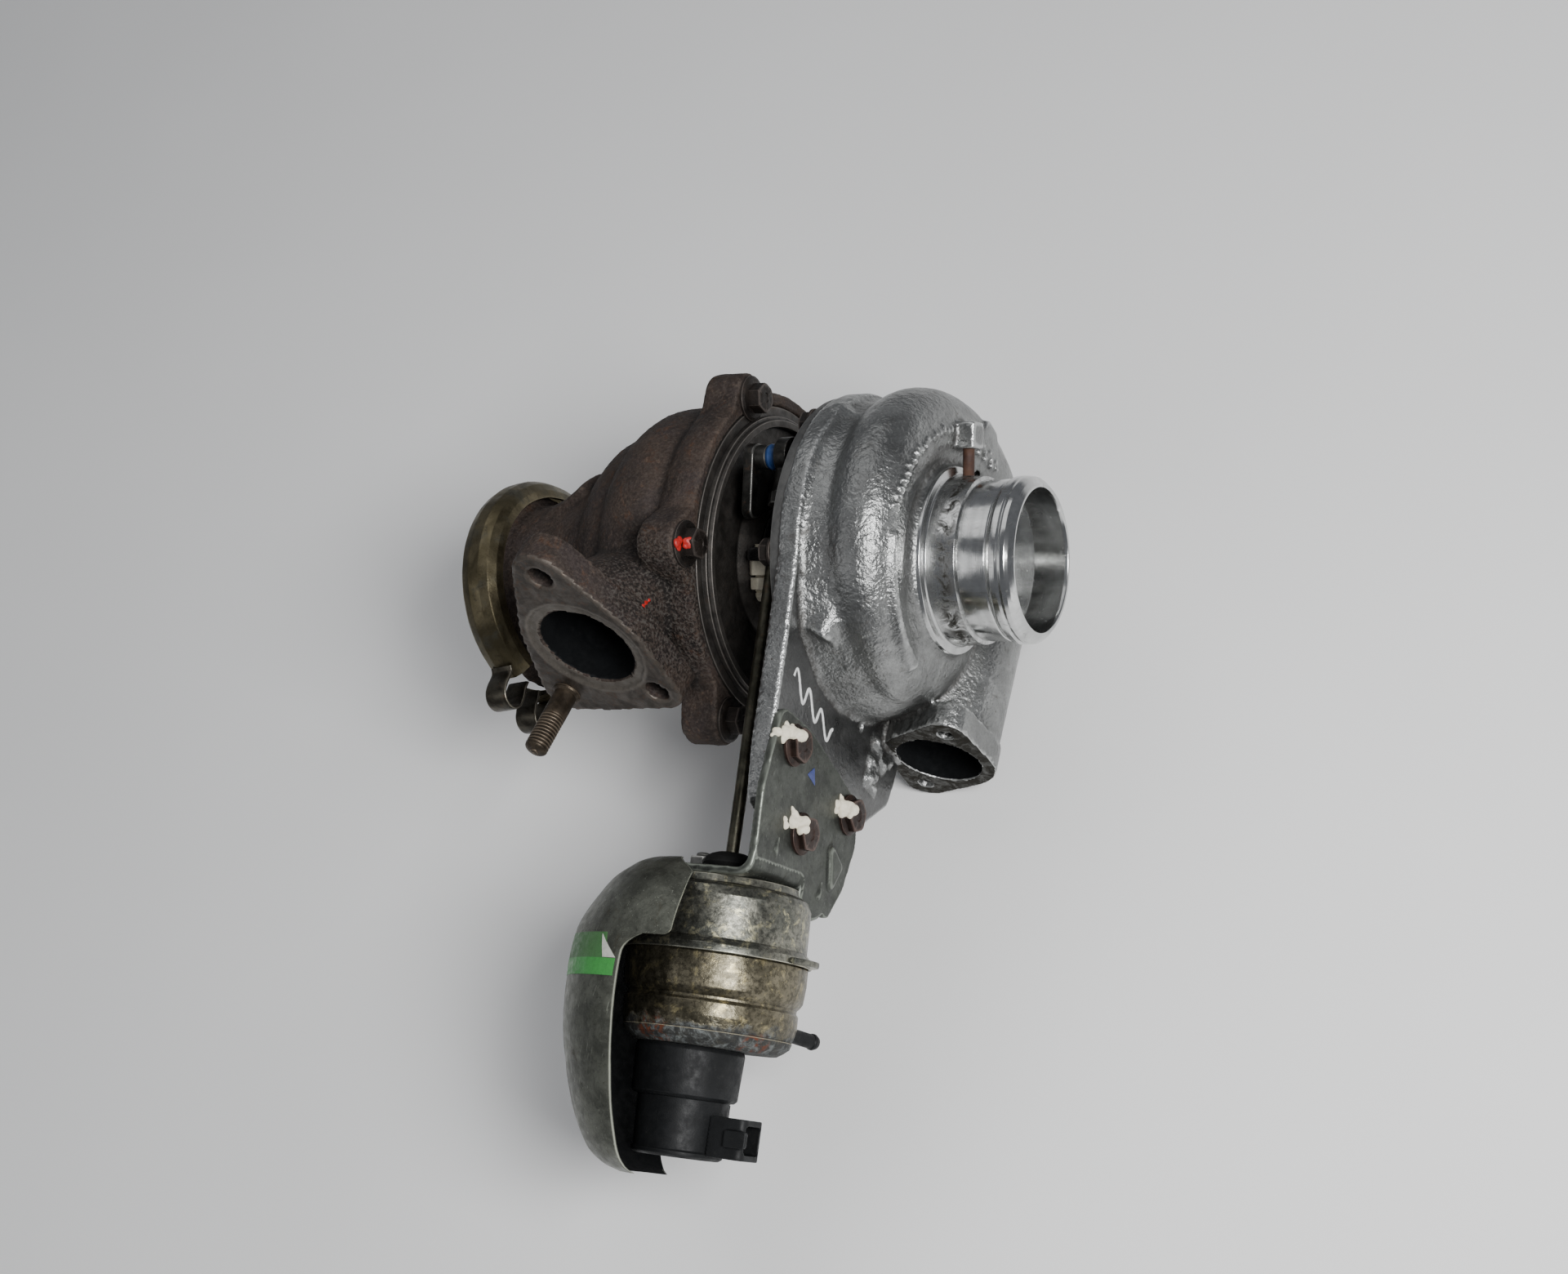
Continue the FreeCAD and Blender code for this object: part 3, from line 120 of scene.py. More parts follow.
# ---- shader nodes ------------------------------------------------------------------------
class Shader:
    """A small set of calls that build one procedural material."""

    def __init__(self, name, rough=0.5, metallic=0.0, coat=0.0):
        self.mat = bpy.data.materials.new(name)
        self.mat.use_nodes = True
        self.tree = self.mat.node_tree
        self.shader = self.tree.nodes["Principled BSDF"]
        self.shader.inputs["Roughness"].default_value = rough
        self.shader.inputs["Metallic"].default_value = metallic
        if coat:
            self.shader.inputs["Coat Weight"].default_value = coat
            self.shader.inputs["Coat Roughness"].default_value = 0.25
        self.coords = self.tree.nodes.new("ShaderNodeTexCoord").outputs["Object"]
        self.height = None

    def link(self, value, socket):
        if isinstance(value, bpy.types.NodeSocket):
            self.tree.links.new(value, socket)
        elif isinstance(value, (tuple, list)) and len(value) == 3 and len(socket.default_value) == 4:
            socket.default_value = (*value, 1)
        else:
            socket.default_value = value

    def mapped(self, scale=(1, 1, 1), axis=None):
        """Object coordinates, turned so that the given axis becomes local X, then scaled."""
        source = self.coords
        if axis is not None:
            turn = self.tree.nodes.new("ShaderNodeVectorRotate")
            turn.rotation_type = "EULER_XYZ"
            rotation = Vector(axis).rotation_difference(X_AXIS).to_euler()
            self.link(source, turn.inputs["Vector"])
            turn.inputs["Rotation"].default_value = rotation
            source = turn.outputs[0]
        node = self.tree.nodes.new("ShaderNodeMapping")
        self.link(source, node.inputs["Vector"])
        node.inputs["Scale"].default_value = scale
        return node.outputs[0]

    def noise(self, size, detail=4.0, rough=0.6, warp=0.0, coords=None):
        """Noise whose features are about size millimetres across."""
        node = self.tree.nodes.new("ShaderNodeTexNoise")
        self.link(coords or self.coords, node.inputs["Vector"])
        node.inputs["Scale"].default_value = 1000.0 / size
        node.inputs["Detail"].default_value = detail
        node.inputs["Roughness"].default_value = rough
        node.inputs["Distortion"].default_value = warp
        return node.outputs["Fac"]

    def cells(self, size, feature="F1", coords=None, jitter=1.0):
        node = self.tree.nodes.new("ShaderNodeTexVoronoi")
        node.feature = feature
        self.link(coords or self.coords, node.inputs["Vector"])
        node.inputs["Scale"].default_value = 1000.0 / size
        node.inputs["Randomness"].default_value = jitter
        return node.outputs["Distance"]

    def attribute(self, name):
        node = self.tree.nodes.new("ShaderNodeAttribute")
        node.attribute_name = name
        return node.outputs["Fac"]

    def along(self, centre, axis):
        """Distance in millimetres from a plane through centre, along axis."""
        sub = self.tree.nodes.new("ShaderNodeVectorMath")
        sub.operation = "SUBTRACT"
        self.link(self.coords, sub.inputs[0])
        sub.inputs[1].default_value = Vector(centre) * MM
        dot = self.tree.nodes.new("ShaderNodeVectorMath")
        dot.operation = "DOT_PRODUCT"
        self.link(sub.outputs[0], dot.inputs[0])
        dot.inputs[1].default_value = Vector(axis).normalized() * 1000
        return dot.outputs["Value"]

    def distance(self, centre):
        """Distance in millimetres from a point."""
        node = self.tree.nodes.new("ShaderNodeVectorMath")
        node.operation = "DISTANCE"
        self.link(self.coords, node.inputs[0])
        node.inputs[1].default_value = Vector(centre) * MM
        return self.math("MULTIPLY", node.outputs["Value"], 1000.0)

    def math(self, operation, a, b=0.0, c=None, clamp=False):
        node = self.tree.nodes.new("ShaderNodeMath")
        node.operation = operation
        node.use_clamp = clamp
        self.link(a, node.inputs[0])
        self.link(b, node.inputs[1])
        if c is not None:
            self.link(c, node.inputs[2])
        return node.outputs[0]

    def band(self, value, low, high, out_low=0.0, out_high=1.0, smooth=True):
        """value from low to high mapped to out_low..out_high, and clamped."""
        node = self.tree.nodes.new("ShaderNodeMapRange")
        node.interpolation_type = "SMOOTHSTEP" if smooth else "LINEAR"
        self.link(value, node.inputs["Value"])
        for key, number in (("From Min", low), ("From Max", high), ("To Min", out_low), ("To Max", out_high)):
            node.inputs[key].default_value = number
        return node.outputs["Result"]

    def mix(self, factor, a, b, blend="MIX"):
        node = self.tree.nodes.new("ShaderNodeMix")
        node.data_type = "RGBA"
        node.blend_type = blend
        self.link(factor, node.inputs[0])
        self.link(a, node.inputs[6])
        self.link(b, node.inputs[7])
        return node.outputs[2]

    def bump(self, height, depth, strength=1.0):
        """Adds a height field, depth in millimetres."""
        node = self.tree.nodes.new("ShaderNodeBump")
        node.inputs["Strength"].default_value = strength
        node.inputs["Distance"].default_value = depth * MM
        self.link(height, node.inputs["Height"])
        if self.height is not None:
            self.link(self.height, node.inputs["Normal"])
        self.height = node.outputs["Normal"]

    def done(self, color, rough=None, metallic=None):
        self.link(color, self.shader.inputs["Base Color"])
        if rough is not None:
            self.link(rough, self.shader.inputs["Roughness"])
        if metallic is not None:
            self.link(metallic, self.shader.inputs["Metallic"])
        if self.height is not None:
            self.link(self.height, self.shader.inputs["Normal"])
        return self.mat


def cast_aluminium(name, relief, low, high):
    s = Shader(name, metallic=0.92)
    grain = s.noise(0.8, 3, 0.55)
    lumps = s.noise(1.7, 2, 0.5)
    blotch = s.noise(16, 5, 0.65, 0.6)
    s.bump(lumps, 0.5 * relief, 0.8)
    s.bump(grain, 0.25 * relief, 0.8)
    color = s.mix(s.band(blotch, 0.35, 0.7), low, high)
    fine = s.noise(0.7, 4, 0.7)
    color = s.mix(s.band(fine, 0.35, 0.75, 0.0, 0.35), color, tuple(c * 0.5 for c in low))
    dirt = s.math("MULTIPLY", s.band(s.noise(5.5, 8, 0.72, 0.8), 0.54, 0.72), 0.55)
    color = s.mix(dirt, color, (0.075, 0.068, 0.06))
    cavity = s.band(s.attribute("cavity"), 0.12, 0.8, 0.0, 0.8)
    cavity = s.math("MULTIPLY", cavity, s.band(s.noise(3.0, 6, 0.7), 0.3, 0.6))
    color = s.mix(cavity, color, (0.04, 0.036, 0.032))
    edge = s.band(s.attribute("wear"), 0.35, 0.9, 0.0, 0.8)
    color = s.mix(edge, color, tuple(c * 1.7 for c in high))
    specks = s.band(s.cells(4.3), 0.05, 0.11, 0.75, 0.0)
    specks = s.math("MULTIPLY", specks, s.band(blotch, 0.48, 0.55))
    color = s.mix(specks, color, (0.06, 0.036, 0.024))
    rough = s.band(s.noise(7, 4, 0.6), 0.3, 0.7, 0.27, 0.38)
    rough = s.math("ADD", rough, s.math("MULTIPLY", dirt, 0.35))
    rough = s.math("ADD", rough, s.math("MULTIPLY", cavity, 0.3), clamp=True)
    return s.done(color, rough)


def machined_aluminium(name, axis, dirt_at, dirt_reach, low, high, shine):
    """Bright turned metal with fine lathe lines round the axis, scratches and old grease."""
    s = Shader(name, metallic=1.0)
    lines = s.noise(0.35, 3, 0.7, coords=s.mapped((1, 0.03, 0.03), axis))
    tool = s.noise(3.0, 2, 0.5, coords=s.mapped((1, 0.02, 0.02), axis))
    s.bump(lines, 0.02, 0.7)
    streak = s.noise(9, 5, 0.7, coords=s.mapped((0.35, 1, 1), axis))
    color = s.mix(s.band(streak, 0.35, 0.7), low, high)
    color = s.mix(s.band(tool, 0.4, 0.75, 0, 0.35), color, tuple(c * 0.7 for c in low))
    smear = s.band(s.noise(5, 8, 0.75, 1.2), 0.56, 0.68)
    smear = s.math("MULTIPLY", smear, 0.45)
    scratch = s.band(s.noise(2.2, 2, 0.5, 2.0, coords=s.mapped((0.12, 1.6, 1.6), axis)), 0.66, 0.7, 0, 0.5)
    color = s.mix(scratch, color, (0.35, 0.33, 0.3))
    reach = s.math("ABSOLUTE", s.math("SUBTRACT", s.along(ORIGIN, axis), dirt_at))
    near = s.band(reach, 0.0, dirt_reach, 1.0, 0.0)
    patch = s.band(s.noise(4.5, 7, 0.75, 1.0), 0.4, 0.58)
    smear = s.math("MAXIMUM", smear, s.math("MULTIPLY", near, patch))
    color = s.mix(smear, color, (0.045, 0.042, 0.036))
    rough = s.math("ADD", s.band(tool, 0.3, 0.7, shine, shine + 0.08), s.math("MULTIPLY", smear, 0.45),
                   clamp=True)
    return s.done(color, rough)


def rusty_iron():
    s = Shader("rusty_cast_iron", metallic=0.0)
    s.shader.inputs["Specular IOR Level"].default_value = 0.28
    grain = s.noise(1.0, 4, 0.6)
    pits = s.noise(2.4, 4, 0.6)
    zone = s.band(s.distance((-108, -44, 44)), 14, 34, 1.0, 0.0)
    s.bump(pits, 0.7, 0.7)
    s.bump(s.math("MULTIPLY", grain, s.band(zone, 0.0, 1.0, 0.45, 1.5)), 0.8, 1.0)
    tone = s.noise(22, 6, 0.62, 0.7)
    color = s.mix(s.band(tone, 0.32, 0.66), (0.02, 0.014, 0.012), (0.052, 0.036, 0.028))
    purple = s.band(s.noise(13, 5, 0.6, 0.5), 0.45, 0.68, 0, 0.7)
    color = s.mix(purple, color, (0.038, 0.028, 0.027))
    rust = s.band(s.noise(7.5, 8, 0.72, 0.9), 0.53, 0.72, 0.0, 0.85)
    color = s.mix(rust, color, (0.078, 0.036, 0.018))
    spots = s.band(s.noise(2.0, 6, 0.7), 0.58, 0.72, 0.0, 0.75)
    color = s.mix(spots, color, (0.1, 0.058, 0.034))
    color = s.mix(s.band(s.noise(0.8, 3, 0.6), 0.55, 0.8, 0, 0.5), color, (0.1, 0.083, 0.068))
    cavity = s.band(s.attribute("cavity"), 0.1, 0.8, 0.0, 0.75)
    color = s.mix(cavity, color, (0.007, 0.006, 0.006))
    edge = s.math("MULTIPLY", s.band(s.attribute("wear"), 0.3, 0.85), s.band(s.noise(4, 5, 0.7), 0.4, 0.6))
    color = s.mix(s.math("MULTIPLY", edge, 0.25), color, (0.13, 0.1, 0.08))
    flake = s.band(s.distance((-127.0, -59.0, 15.5)), 7, 13, 1.0, 0.0)
    flake = s.math("MULTIPLY", flake, s.band(s.noise(6, 5, 0.7), 0.4, 0.55))
    color = s.mix(flake, color, (0.13, 0.036, 0.016))
    crystals = s.math("MULTIPLY", s.band(grain, 0.5, 0.62), s.band(zone, 0.0, 1.0, 0.25, 0.9))
    color = s.mix(crystals, color, (0.078, 0.07, 0.062))
    color = s.mix(s.math("MULTIPLY", s.band(grain, 0.4, 0.5, 1.0, 0.0), s.band(zone, 0, 1, 0.3, 0.85)),
                  color, (0.009, 0.008, 0.007))
    rough = s.band(grain, 0.3, 0.7, 0.62, 0.85)
    return s.done(color, rough)


def flange_face():
    """The machined, heat-stained face of the manifold flange."""
    s = Shader("flange_face", metallic=0.55)
    tone = s.noise(10, 6, 0.65, 0.8)
    color = s.mix(s.band(tone, 0.35, 0.65), (0.034, 0.028, 0.023), (0.08, 0.068, 0.058))
    color = s.mix(s.band(s.noise(2.2, 6, 0.7), 0.52, 0.68, 0, 0.7), color, (0.075, 0.042, 0.025))
    reach = s.distance(MANIFOLD_CENTRE)
    gasket = s.math("MULTIPLY", s.band(reach, 16.2, 17.5), s.band(reach, 20.8, 22.0, 1.0, 0.0))
    gasket = s.math("MULTIPLY", gasket, s.band(s.noise(3, 5, 0.65), 0.25, 0.5, 0.35, 1.0))
    color = s.mix(gasket, color, (0.11, 0.098, 0.084))
    color = s.mix(s.band(s.attribute("wear"), 0.3, 0.8, 0, 0.22), color, (0.2, 0.17, 0.145))
    s.bump(s.noise(1.1, 4, 0.6), 0.16, 0.7)
    s.bump(s.noise(0.4, 2, 0.5, coords=s.mapped((1, 0.08, 1), MANIFOLD_U)), 0.03, 0.6)
    rough = s.band(s.noise(5, 4, 0.6), 0.3, 0.7, 0.42, 0.7)
    return s.done(color, rough)


def dark_steel(name, low, high, rough=(0.35, 0.6), metallic=0.85, grain=0.08, rust=0.35,
               rust_color=(0.15, 0.07, 0.035)):
    """A worn dark steel: mottled tone, light rust, brighter edges."""
    s = Shader(name, metallic=metallic)
    color = s.mix(s.band(s.noise(6, 6, 0.65, 0.5), 0.35, 0.68), low, high)
    spots = s.band(s.noise(2.4, 7, 0.72, 0.6), 0.55, 0.7, 0.0, rust)
    color = s.mix(spots, color, rust_color)
    color = s.mix(s.band(s.attribute("wear"), 0.3, 0.85, 0, 0.7), color,
                  tuple(min(1.0, c * 2.6 + 0.03) for c in high))
    color = s.mix(s.band(s.attribute("cavity"), 0.2, 0.9, 0, 0.8), color, tuple(c * 0.3 for c in low))
    s.bump(s.noise(1.2, 4, 0.6), grain * 2, 0.6)
    s.bump(s.noise(0.35, 3, 0.6), grain, 0.6)
    value = s.math("ADD", s.band(s.noise(3, 4, 0.6), 0.3, 0.7, rough[0], rough[1]),
                   s.math("MULTIPLY", spots, 0.4))
    return s.done(color, value)


def plated_can(name, low, high, decay_from, decay_to):
    """Yellow-grey plated sheet, whitened and rusted towards one end of the actuator's axis."""
    s = Shader(name, metallic=0.9)
    tone = s.noise(9, 5, 0.62, 0.5)
    color = s.mix(s.band(tone, 0.34, 0.66), low, high)
    fine = s.band(s.noise(1.5, 6, 0.75), 0.44, 0.6, 0, 0.7)
    color = s.mix(fine, color, tuple(c * 0.45 for c in low))
    gilt = s.band(s.noise(4.2, 7, 0.72, 0.3), 0.53, 0.66, 0, 0.75)
    color = s.mix(gilt, color, tuple(min(1.0, c * k) for c, k in zip(high, (2.1, 2.0, 1.55))))
    level = s.along(SHELF, ROD_DIR)
    ragged = s.math("ADD", level, s.math("MULTIPLY", s.math("SUBTRACT", s.noise(5.5, 5, 0.6), 0.5), 12.0))
    decay = s.band(ragged, decay_from, decay_to)
    bloom = s.mix(s.band(s.noise(3.4, 6, 0.72, 0.4), 0.46, 0.66), (0.018, 0.02, 0.021), (0.15, 0.165, 0.165))
    color = s.mix(s.math("MULTIPLY", decay, 0.9), color, bloom)
    patch = s.math("MAXIMUM", s.band(s.distance(on_axis(51.5, -4.5, 25.0)), 4.5, 7.5, 1.0, 0.0),
                   s.band(s.distance(on_axis(52.5, 22.0, 10.0)), 3.5, 6.0, 1.0, 0.0))
    orange = s.math("MULTIPLY", s.math("MULTIPLY", decay, patch),
                    s.band(s.noise(3.0, 6, 0.7, 0.8), 0.48, 0.58))
    color = s.mix(orange, color, (0.12, 0.034, 0.014))
    color = s.mix(s.band(s.attribute("wear"), 0.4, 0.9, 0, 0.6), color,
                  tuple(min(1.0, c * 2.4) for c in high))
    color = s.mix(s.band(s.attribute("cavity"), 0.2, 0.9, 0, 0.75), color, (0.02, 0.018, 0.014))
    s.bump(s.noise(1.3, 5, 0.65), 0.12, 0.7)
    s.bump(s.math("MULTIPLY", decay, s.noise(1.4, 5, 0.7)), 0.5, 0.8)
    base = s.band(s.noise(2.6, 4, 0.65), 0.3, 0.7, 0.27, 0.44)
    rough = s.math("ADD", base, s.math("MULTIPLY", decay, 0.4), clamp=True)
    metallic = s.band(decay, 0.1, 0.9, 0.92, 0.25)
    return s.done(color, rough, metallic)


def galvanised(name, low, high, metallic=0.75):
    s = Shader(name, metallic=metallic)
    tone = s.noise(11, 6, 0.68, 0.5)
    color = s.mix(s.band(tone, 0.33, 0.66), low, high)
    color = s.mix(s.band(s.noise(1.4, 7, 0.75), 0.5, 0.68, 0, 0.6), color, tuple(c * 0.4 for c in low))
    color = s.mix(s.band(s.noise(2.8, 6, 0.7), 0.58, 0.7, 0, 0.45), color, tuple(c * 1.6 for c in high))
    brown = s.band(s.noise(7, 7, 0.72, 0.9), 0.58, 0.72, 0, 0.45)
    color = s.mix(brown, color, tuple(c * k for c, k in zip(low, (0.85, 0.62, 0.4))))
    color = s.mix(s.band(s.attribute("wear"), 0.3, 0.8, 0, 0.9), color, tuple(c * 2.6 for c in high))
    color = s.mix(s.band(s.attribute("cavity"), 0.25, 0.9, 0, 0.7), color, tuple(c * 0.25 for c in low))
    s.bump(s.noise(1.0, 5, 0.65), 0.1, 0.7)
    s.bump(s.noise(4.0, 2, 0.5), 0.15, 0.5)
    scratch = s.band(s.noise(1.6, 2, 0.5, 2.5, coords=s.mapped((0.1, 1.5, 1.5), (0.2, 0.8, 0.5))), 0.67,
                     0.7, 0, 0.6)
    color = s.mix(scratch, color, tuple(c * 2.2 for c in high))
    rough = s.math("ADD", s.band(s.noise(3.2, 4, 0.6), 0.3, 0.7, 0.36, 0.52), s.math("MULTIPLY", brown, 0.3))
    return s.done(color, rough)


def clamp_bronze():
    s = Shader("clamp_bronze", metallic=0.95)
    tone = s.noise(14, 5, 0.6, 0.8)
    color = s.mix(s.band(tone, 0.35, 0.65), (0.085, 0.072, 0.042), (0.17, 0.145, 0.09))
    color = s.mix(s.band(s.noise(8, 4, 0.6), 0.5, 0.7, 0, 0.7), color, (0.085, 0.085, 0.07))
    color = s.mix(s.band(s.noise(2.0, 7, 0.75, 0.4), 0.54, 0.7, 0, 0.6), color, (0.04, 0.027, 0.016))
    color = s.mix(s.band(s.attribute("wear"), 0.3, 0.85, 0, 0.8), color, (0.34, 0.3, 0.21))
    s.bump(s.noise(1.6, 5, 0.65), 0.14, 0.6)
    rough = s.band(s.noise(4, 5, 0.65), 0.3, 0.7, 0.34, 0.5)
    return s.done(color, rough)


def plastic(name, color, rough=0.5, grain=0.06, dust=0.3):
    s = Shader(name, rough=rough)
    s.shader.inputs["Specular IOR Level"].default_value = 0.2
    body = s.mix(s.band(s.noise(8, 5, 0.65), 0.4, 0.7, 0, 0.6), color, tuple(c * 1.7 + 0.001 for c in color))
    body = s.mix(s.band(s.noise(1.8, 7, 0.75, 0.5), 0.56, 0.72, 0, dust), body, (0.1, 0.096, 0.088))
    body = s.mix(s.band(s.attribute("wear"), 0.35, 0.9, 0, 0.5), body, tuple(c * 2.5 + 0.01 for c in color))
    s.bump(s.noise(0.5, 3, 0.6), grain, 0.6)
    s.bump(s.noise(5, 3, 0.5), grain * 2, 0.5)
    return s.done(body, s.band(s.noise(3, 4, 0.6), 0.3, 0.7, rough - 0.1, rough + 0.14))


def paint(name, color, rough=0.55):
    s = Shader(name)
    body = s.mix(s.band(s.noise(1.6, 5, 0.7), 0.4, 0.7, 0, 0.7), color, tuple(c * 0.72 for c in color))
    body = s.mix(s.band(s.noise(0.7, 6, 0.7), 0.62, 0.75, 0, 0.6), body, (0.25, 0.2, 0.15))
    s.bump(s.noise(0.8, 3, 0.55), 0.12, 0.7)
    return s.done(body, s.band(s.noise(2, 3, 0.6), 0.3, 0.7, rough - 0.12, rough + 0.12))


def bright_steel(name, color=(0.6, 0.6, 0.59), axis=X_AXIS, rough=(0.2, 0.34), tint=(0.3, 0.24, 0.17)):
    s = Shader(name, metallic=1.0)
    lines = s.noise(0.3, 3, 0.7, coords=s.mapped((1, 0.05, 0.05), axis))
    s.bump(lines, 0.02, 0.7)
    body = s.mix(s.band(s.noise(4, 5, 0.65), 0.4, 0.7), color, tuple(c * 0.72 for c in color))
    body = s.mix(s.band(s.noise(2, 7, 0.75, 0.6), 0.56, 0.7, 0, 0.55), body, tint)
    return s.done(body, s.band(s.noise(2.5, 4, 0.6), 0.3, 0.7, rough[0], rough[1]))


MATERIALS = {
    "cast": cast_aluminium("cast_aluminium", 1.0, (0.2, 0.203, 0.2), (0.33, 0.335, 0.33)),
    "cast_face": cast_aluminium("smooth_cast_face", 0.3, (0.13, 0.131, 0.13), (0.175, 0.177, 0.175)),
    "backplate": dark_steel("backplate_metal", (0.05, 0.05, 0.05), (0.1, 0.1, 0.097), (0.4, 0.6), 0.8, 0.05,
                            0.1),
    # Near-black matte: painted shade in the compressor outlet's bore and behind the heat shield, and soot
    # with painted shade in the turbine's bores.
    "painted_shade_and_soot": plastic("painted_shade_and_carbon_black", (0.0015, 0.002, 0.0025), 0.85, 0.15, 0.0),
    "rusty_pin": dark_steel("rusty_pin_steel", (0.04, 0.016, 0.01), (0.07, 0.03, 0.016), (0.6, 0.8), 0.1,
                            0.2, 0.6,
                            (0.1, 0.04, 0.02)),
    "clamp_eye": dark_steel("clamp_eye_steel", (0.035, 0.032, 0.025), (0.09, 0.082, 0.065), (0.3, 0.5), 0.9,
                            0.06, 0.25),
    "plated_nut": galvanised("plated_nut_steel", (0.1, 0.1, 0.095), (0.2, 0.2, 0.19)),
    "label_field": paint("label_field_print", (0.055, 0.16, 0.05), 0.5),
    "label_band": paint("label_band_print", (0.05, 0.3, 0.06), 0.45),
    "label_pale": paint("label_pale_paper", (0.55, 0.56, 0.5), 0.5),
    "turned": machined_aluminium("turned_aluminium", X_AXIS, -22.5, 6.5, (0.5, 0.505, 0.5),
                                 (0.68, 0.685, 0.68), 0.12),
    "port": machined_aluminium("port_aluminium", Vector((0, 1, 0)), -49.5, 12.0, (0.04, 0.04, 0.036),
                               (0.1, 0.1, 0.094), 0.42),
    "rust": rusty_iron(),
    "flange": flange_face(),
    "ring": dark_steel("ring_steel", (0.036, 0.033, 0.03), (0.07, 0.063, 0.057), (0.42, 0.6), 0.7, 0.05,
                       0.15),
    "centre": dark_steel("centre_iron", (0.006, 0.006, 0.006), (0.018, 0.017, 0.016), (0.42, 0.7), 0.5, 0.3,
                         0.15, (0.03, 0.015, 0.009)),
    "bolt": dark_steel("bolt_steel", (0.012, 0.01, 0.009), (0.03, 0.023, 0.019), (0.42, 0.65), 0.6, 0.12,
                       0.35, (0.05, 0.025, 0.014)),
    "bracket_bolt": dark_steel("bracket_bolt_steel", (0.014, 0.008, 0.006), (0.034, 0.018, 0.013),
                               (0.4, 0.6), 0.5, 0.1, 0.5, (0.05, 0.022, 0.012)),
    "stud": dark_steel("stud_steel", (0.034, 0.026, 0.018), (0.085, 0.065, 0.045), (0.38, 0.58), 0.7, 0.08,
                       0.5, (0.07, 0.035, 0.018)),
    "linkage": dark_steel("linkage_steel", (0.012, 0.012, 0.011), (0.04, 0.039, 0.036), (0.3, 0.5), 0.85,
                          0.06, 0.25),
    "rod": dark_steel("rod_steel", (0.035, 0.034, 0.024), (0.085, 0.08, 0.06), (0.3, 0.5), 0.85, 0.05, 0.4),
    "nozzle": dark_steel("nozzle_steel", (0.05, 0.045, 0.042), (0.13, 0.12, 0.11), (0.35, 0.6), 0.8, 0.1,
                         0.4),
    "upper_can": plated_can("upper_can_plate", (0.11, 0.113, 0.098), (0.24, 0.235, 0.195), 60.0, 70.0),
    "lower_can": plated_can("lower_can_plate", (0.1, 0.09, 0.062), (0.19, 0.17, 0.12), 46.3, 49.6),
    "bracket": galvanised("bracket_sheet", (0.04, 0.043, 0.038), (0.078, 0.084, 0.073)),
    "shield": galvanised("shield_sheet", (0.07, 0.073, 0.06), (0.15, 0.156, 0.13)),
    "clamp": clamp_bronze(),
    "plastic": plastic("black_plastic", (0.0075, 0.008, 0.0085), 0.5, 0.06, 0.12),
    "rubber": plastic("black_rubber", (0.004, 0.004, 0.004), 0.7, 0.1, 0.08),
    "blue": plastic("blue_clip_plastic", (0.012, 0.035, 0.11), 0.4, 0.03, 0.1),
    "cream": paint("cream_marking_paint", (0.82, 0.76, 0.6)),
    "red": paint("red_marking_paint", (0.42, 0.014, 0.01)),
    "white": paint("white_marking_paint", (0.75, 0.76, 0.75)),
    "marker": paint("blue_marker", (0.035, 0.05, 0.18)),
    "steel": bright_steel("ground_steel"),
    "brass": bright_steel("bearing_brass", (0.68, 0.5, 0.22), X_AXIS, (0.22, 0.36), (0.3, 0.18, 0.08)),
    "wheel": bright_steel("wheel_alloy", (0.66, 0.67, 0.68), X_AXIS, (0.2, 0.34), (0.4, 0.38, 0.34)),
}

NODE_MATERIALS = {
    "compressor_housing": "cast", "compressor_backplate": "turned", "inlet_boss_pin": "bolt",
    "compressor_wheel": "wheel", "turbine_wheel": "nozzle", "shaft": "steel", "compressor_nut": "steel",
    "thrust_collar": "steel", "oil_flinger": "steel", "bearing_housing": "centre", "journal_bearing": "brass",
    "thrust_bearing": "brass", "crank_bush": "brass", "rod_bush": "brass", "sensor_terminals": "brass",
    "turbine_piston_ring": "steel", "compressor_piston_ring": "steel", "compressor_bolts": "bolt",
    "turbine_bolts": "bolt", "bracket_bolts": "bracket_bolt", "manifold_stud": "stud",
    "turbine_housing": "rust", "outlet_clamp": "clamp", "outlet_clamp_eyes": "clamp", "heat_shroud": "nozzle",
    "nozzle_ring": "nozzle", "unison_ring": "nozzle", "actuator_bracket": "bracket",
                  "actuator_nuts": "bracket",
    "actuator_upper_can": "upper_can", "actuator_lower_can": "lower_can", "piston_plate": "steel",
    "actuator_spring": "steel", "actuator_rod": "rod", "rod_eye": "linkage", "rod_lock_nut": "linkage",
    "lever_pin": "linkage", "crank_arm": "linkage", "crank_shaft": "linkage", "stop_screw": "cream",
    "stop_screw_nut": "cream", "pin_clip": "blue", "diaphragm": "rubber", "rod_boot": "rubber",
    "backplate_seal": "rubber", "sensor_housing": "plastic", "sensor_socket": "plastic",
                  "sensor_magnet": "linkage",
    "vacuum_nipple": "plastic", "heat_shield": "shield",
}
for i in range(1, 10):
    NODE_MATERIALS["vane_%d" % i] = "nozzle"

# ---- mesh building -------------------------------------------------------------------------
def make(name, verts, faces, material, body=None, node=None, wear=None, cavity=None, angle=38, extra=()):
    """A mesh object from points in millimetres. node is the CAD node that it stands for."""
    mesh = bpy.data.meshes.new(name)
    mesh.from_pydata([tuple(c * MM for c in v) for v in verts], [], faces)
    mesh.validate()
    for key in (material, *extra):
        mesh.materials.append(MATERIALS[key])
    for key, values in (("wear", wear), ("cavity", cavity)):
        if values is not None:
            attribute = mesh.attributes.new(key, "FLOAT", "POINT")
            attribute.data.foreach_set("value", np.asarray(values, np.float32))
    return place(name, mesh, body, node, angle)


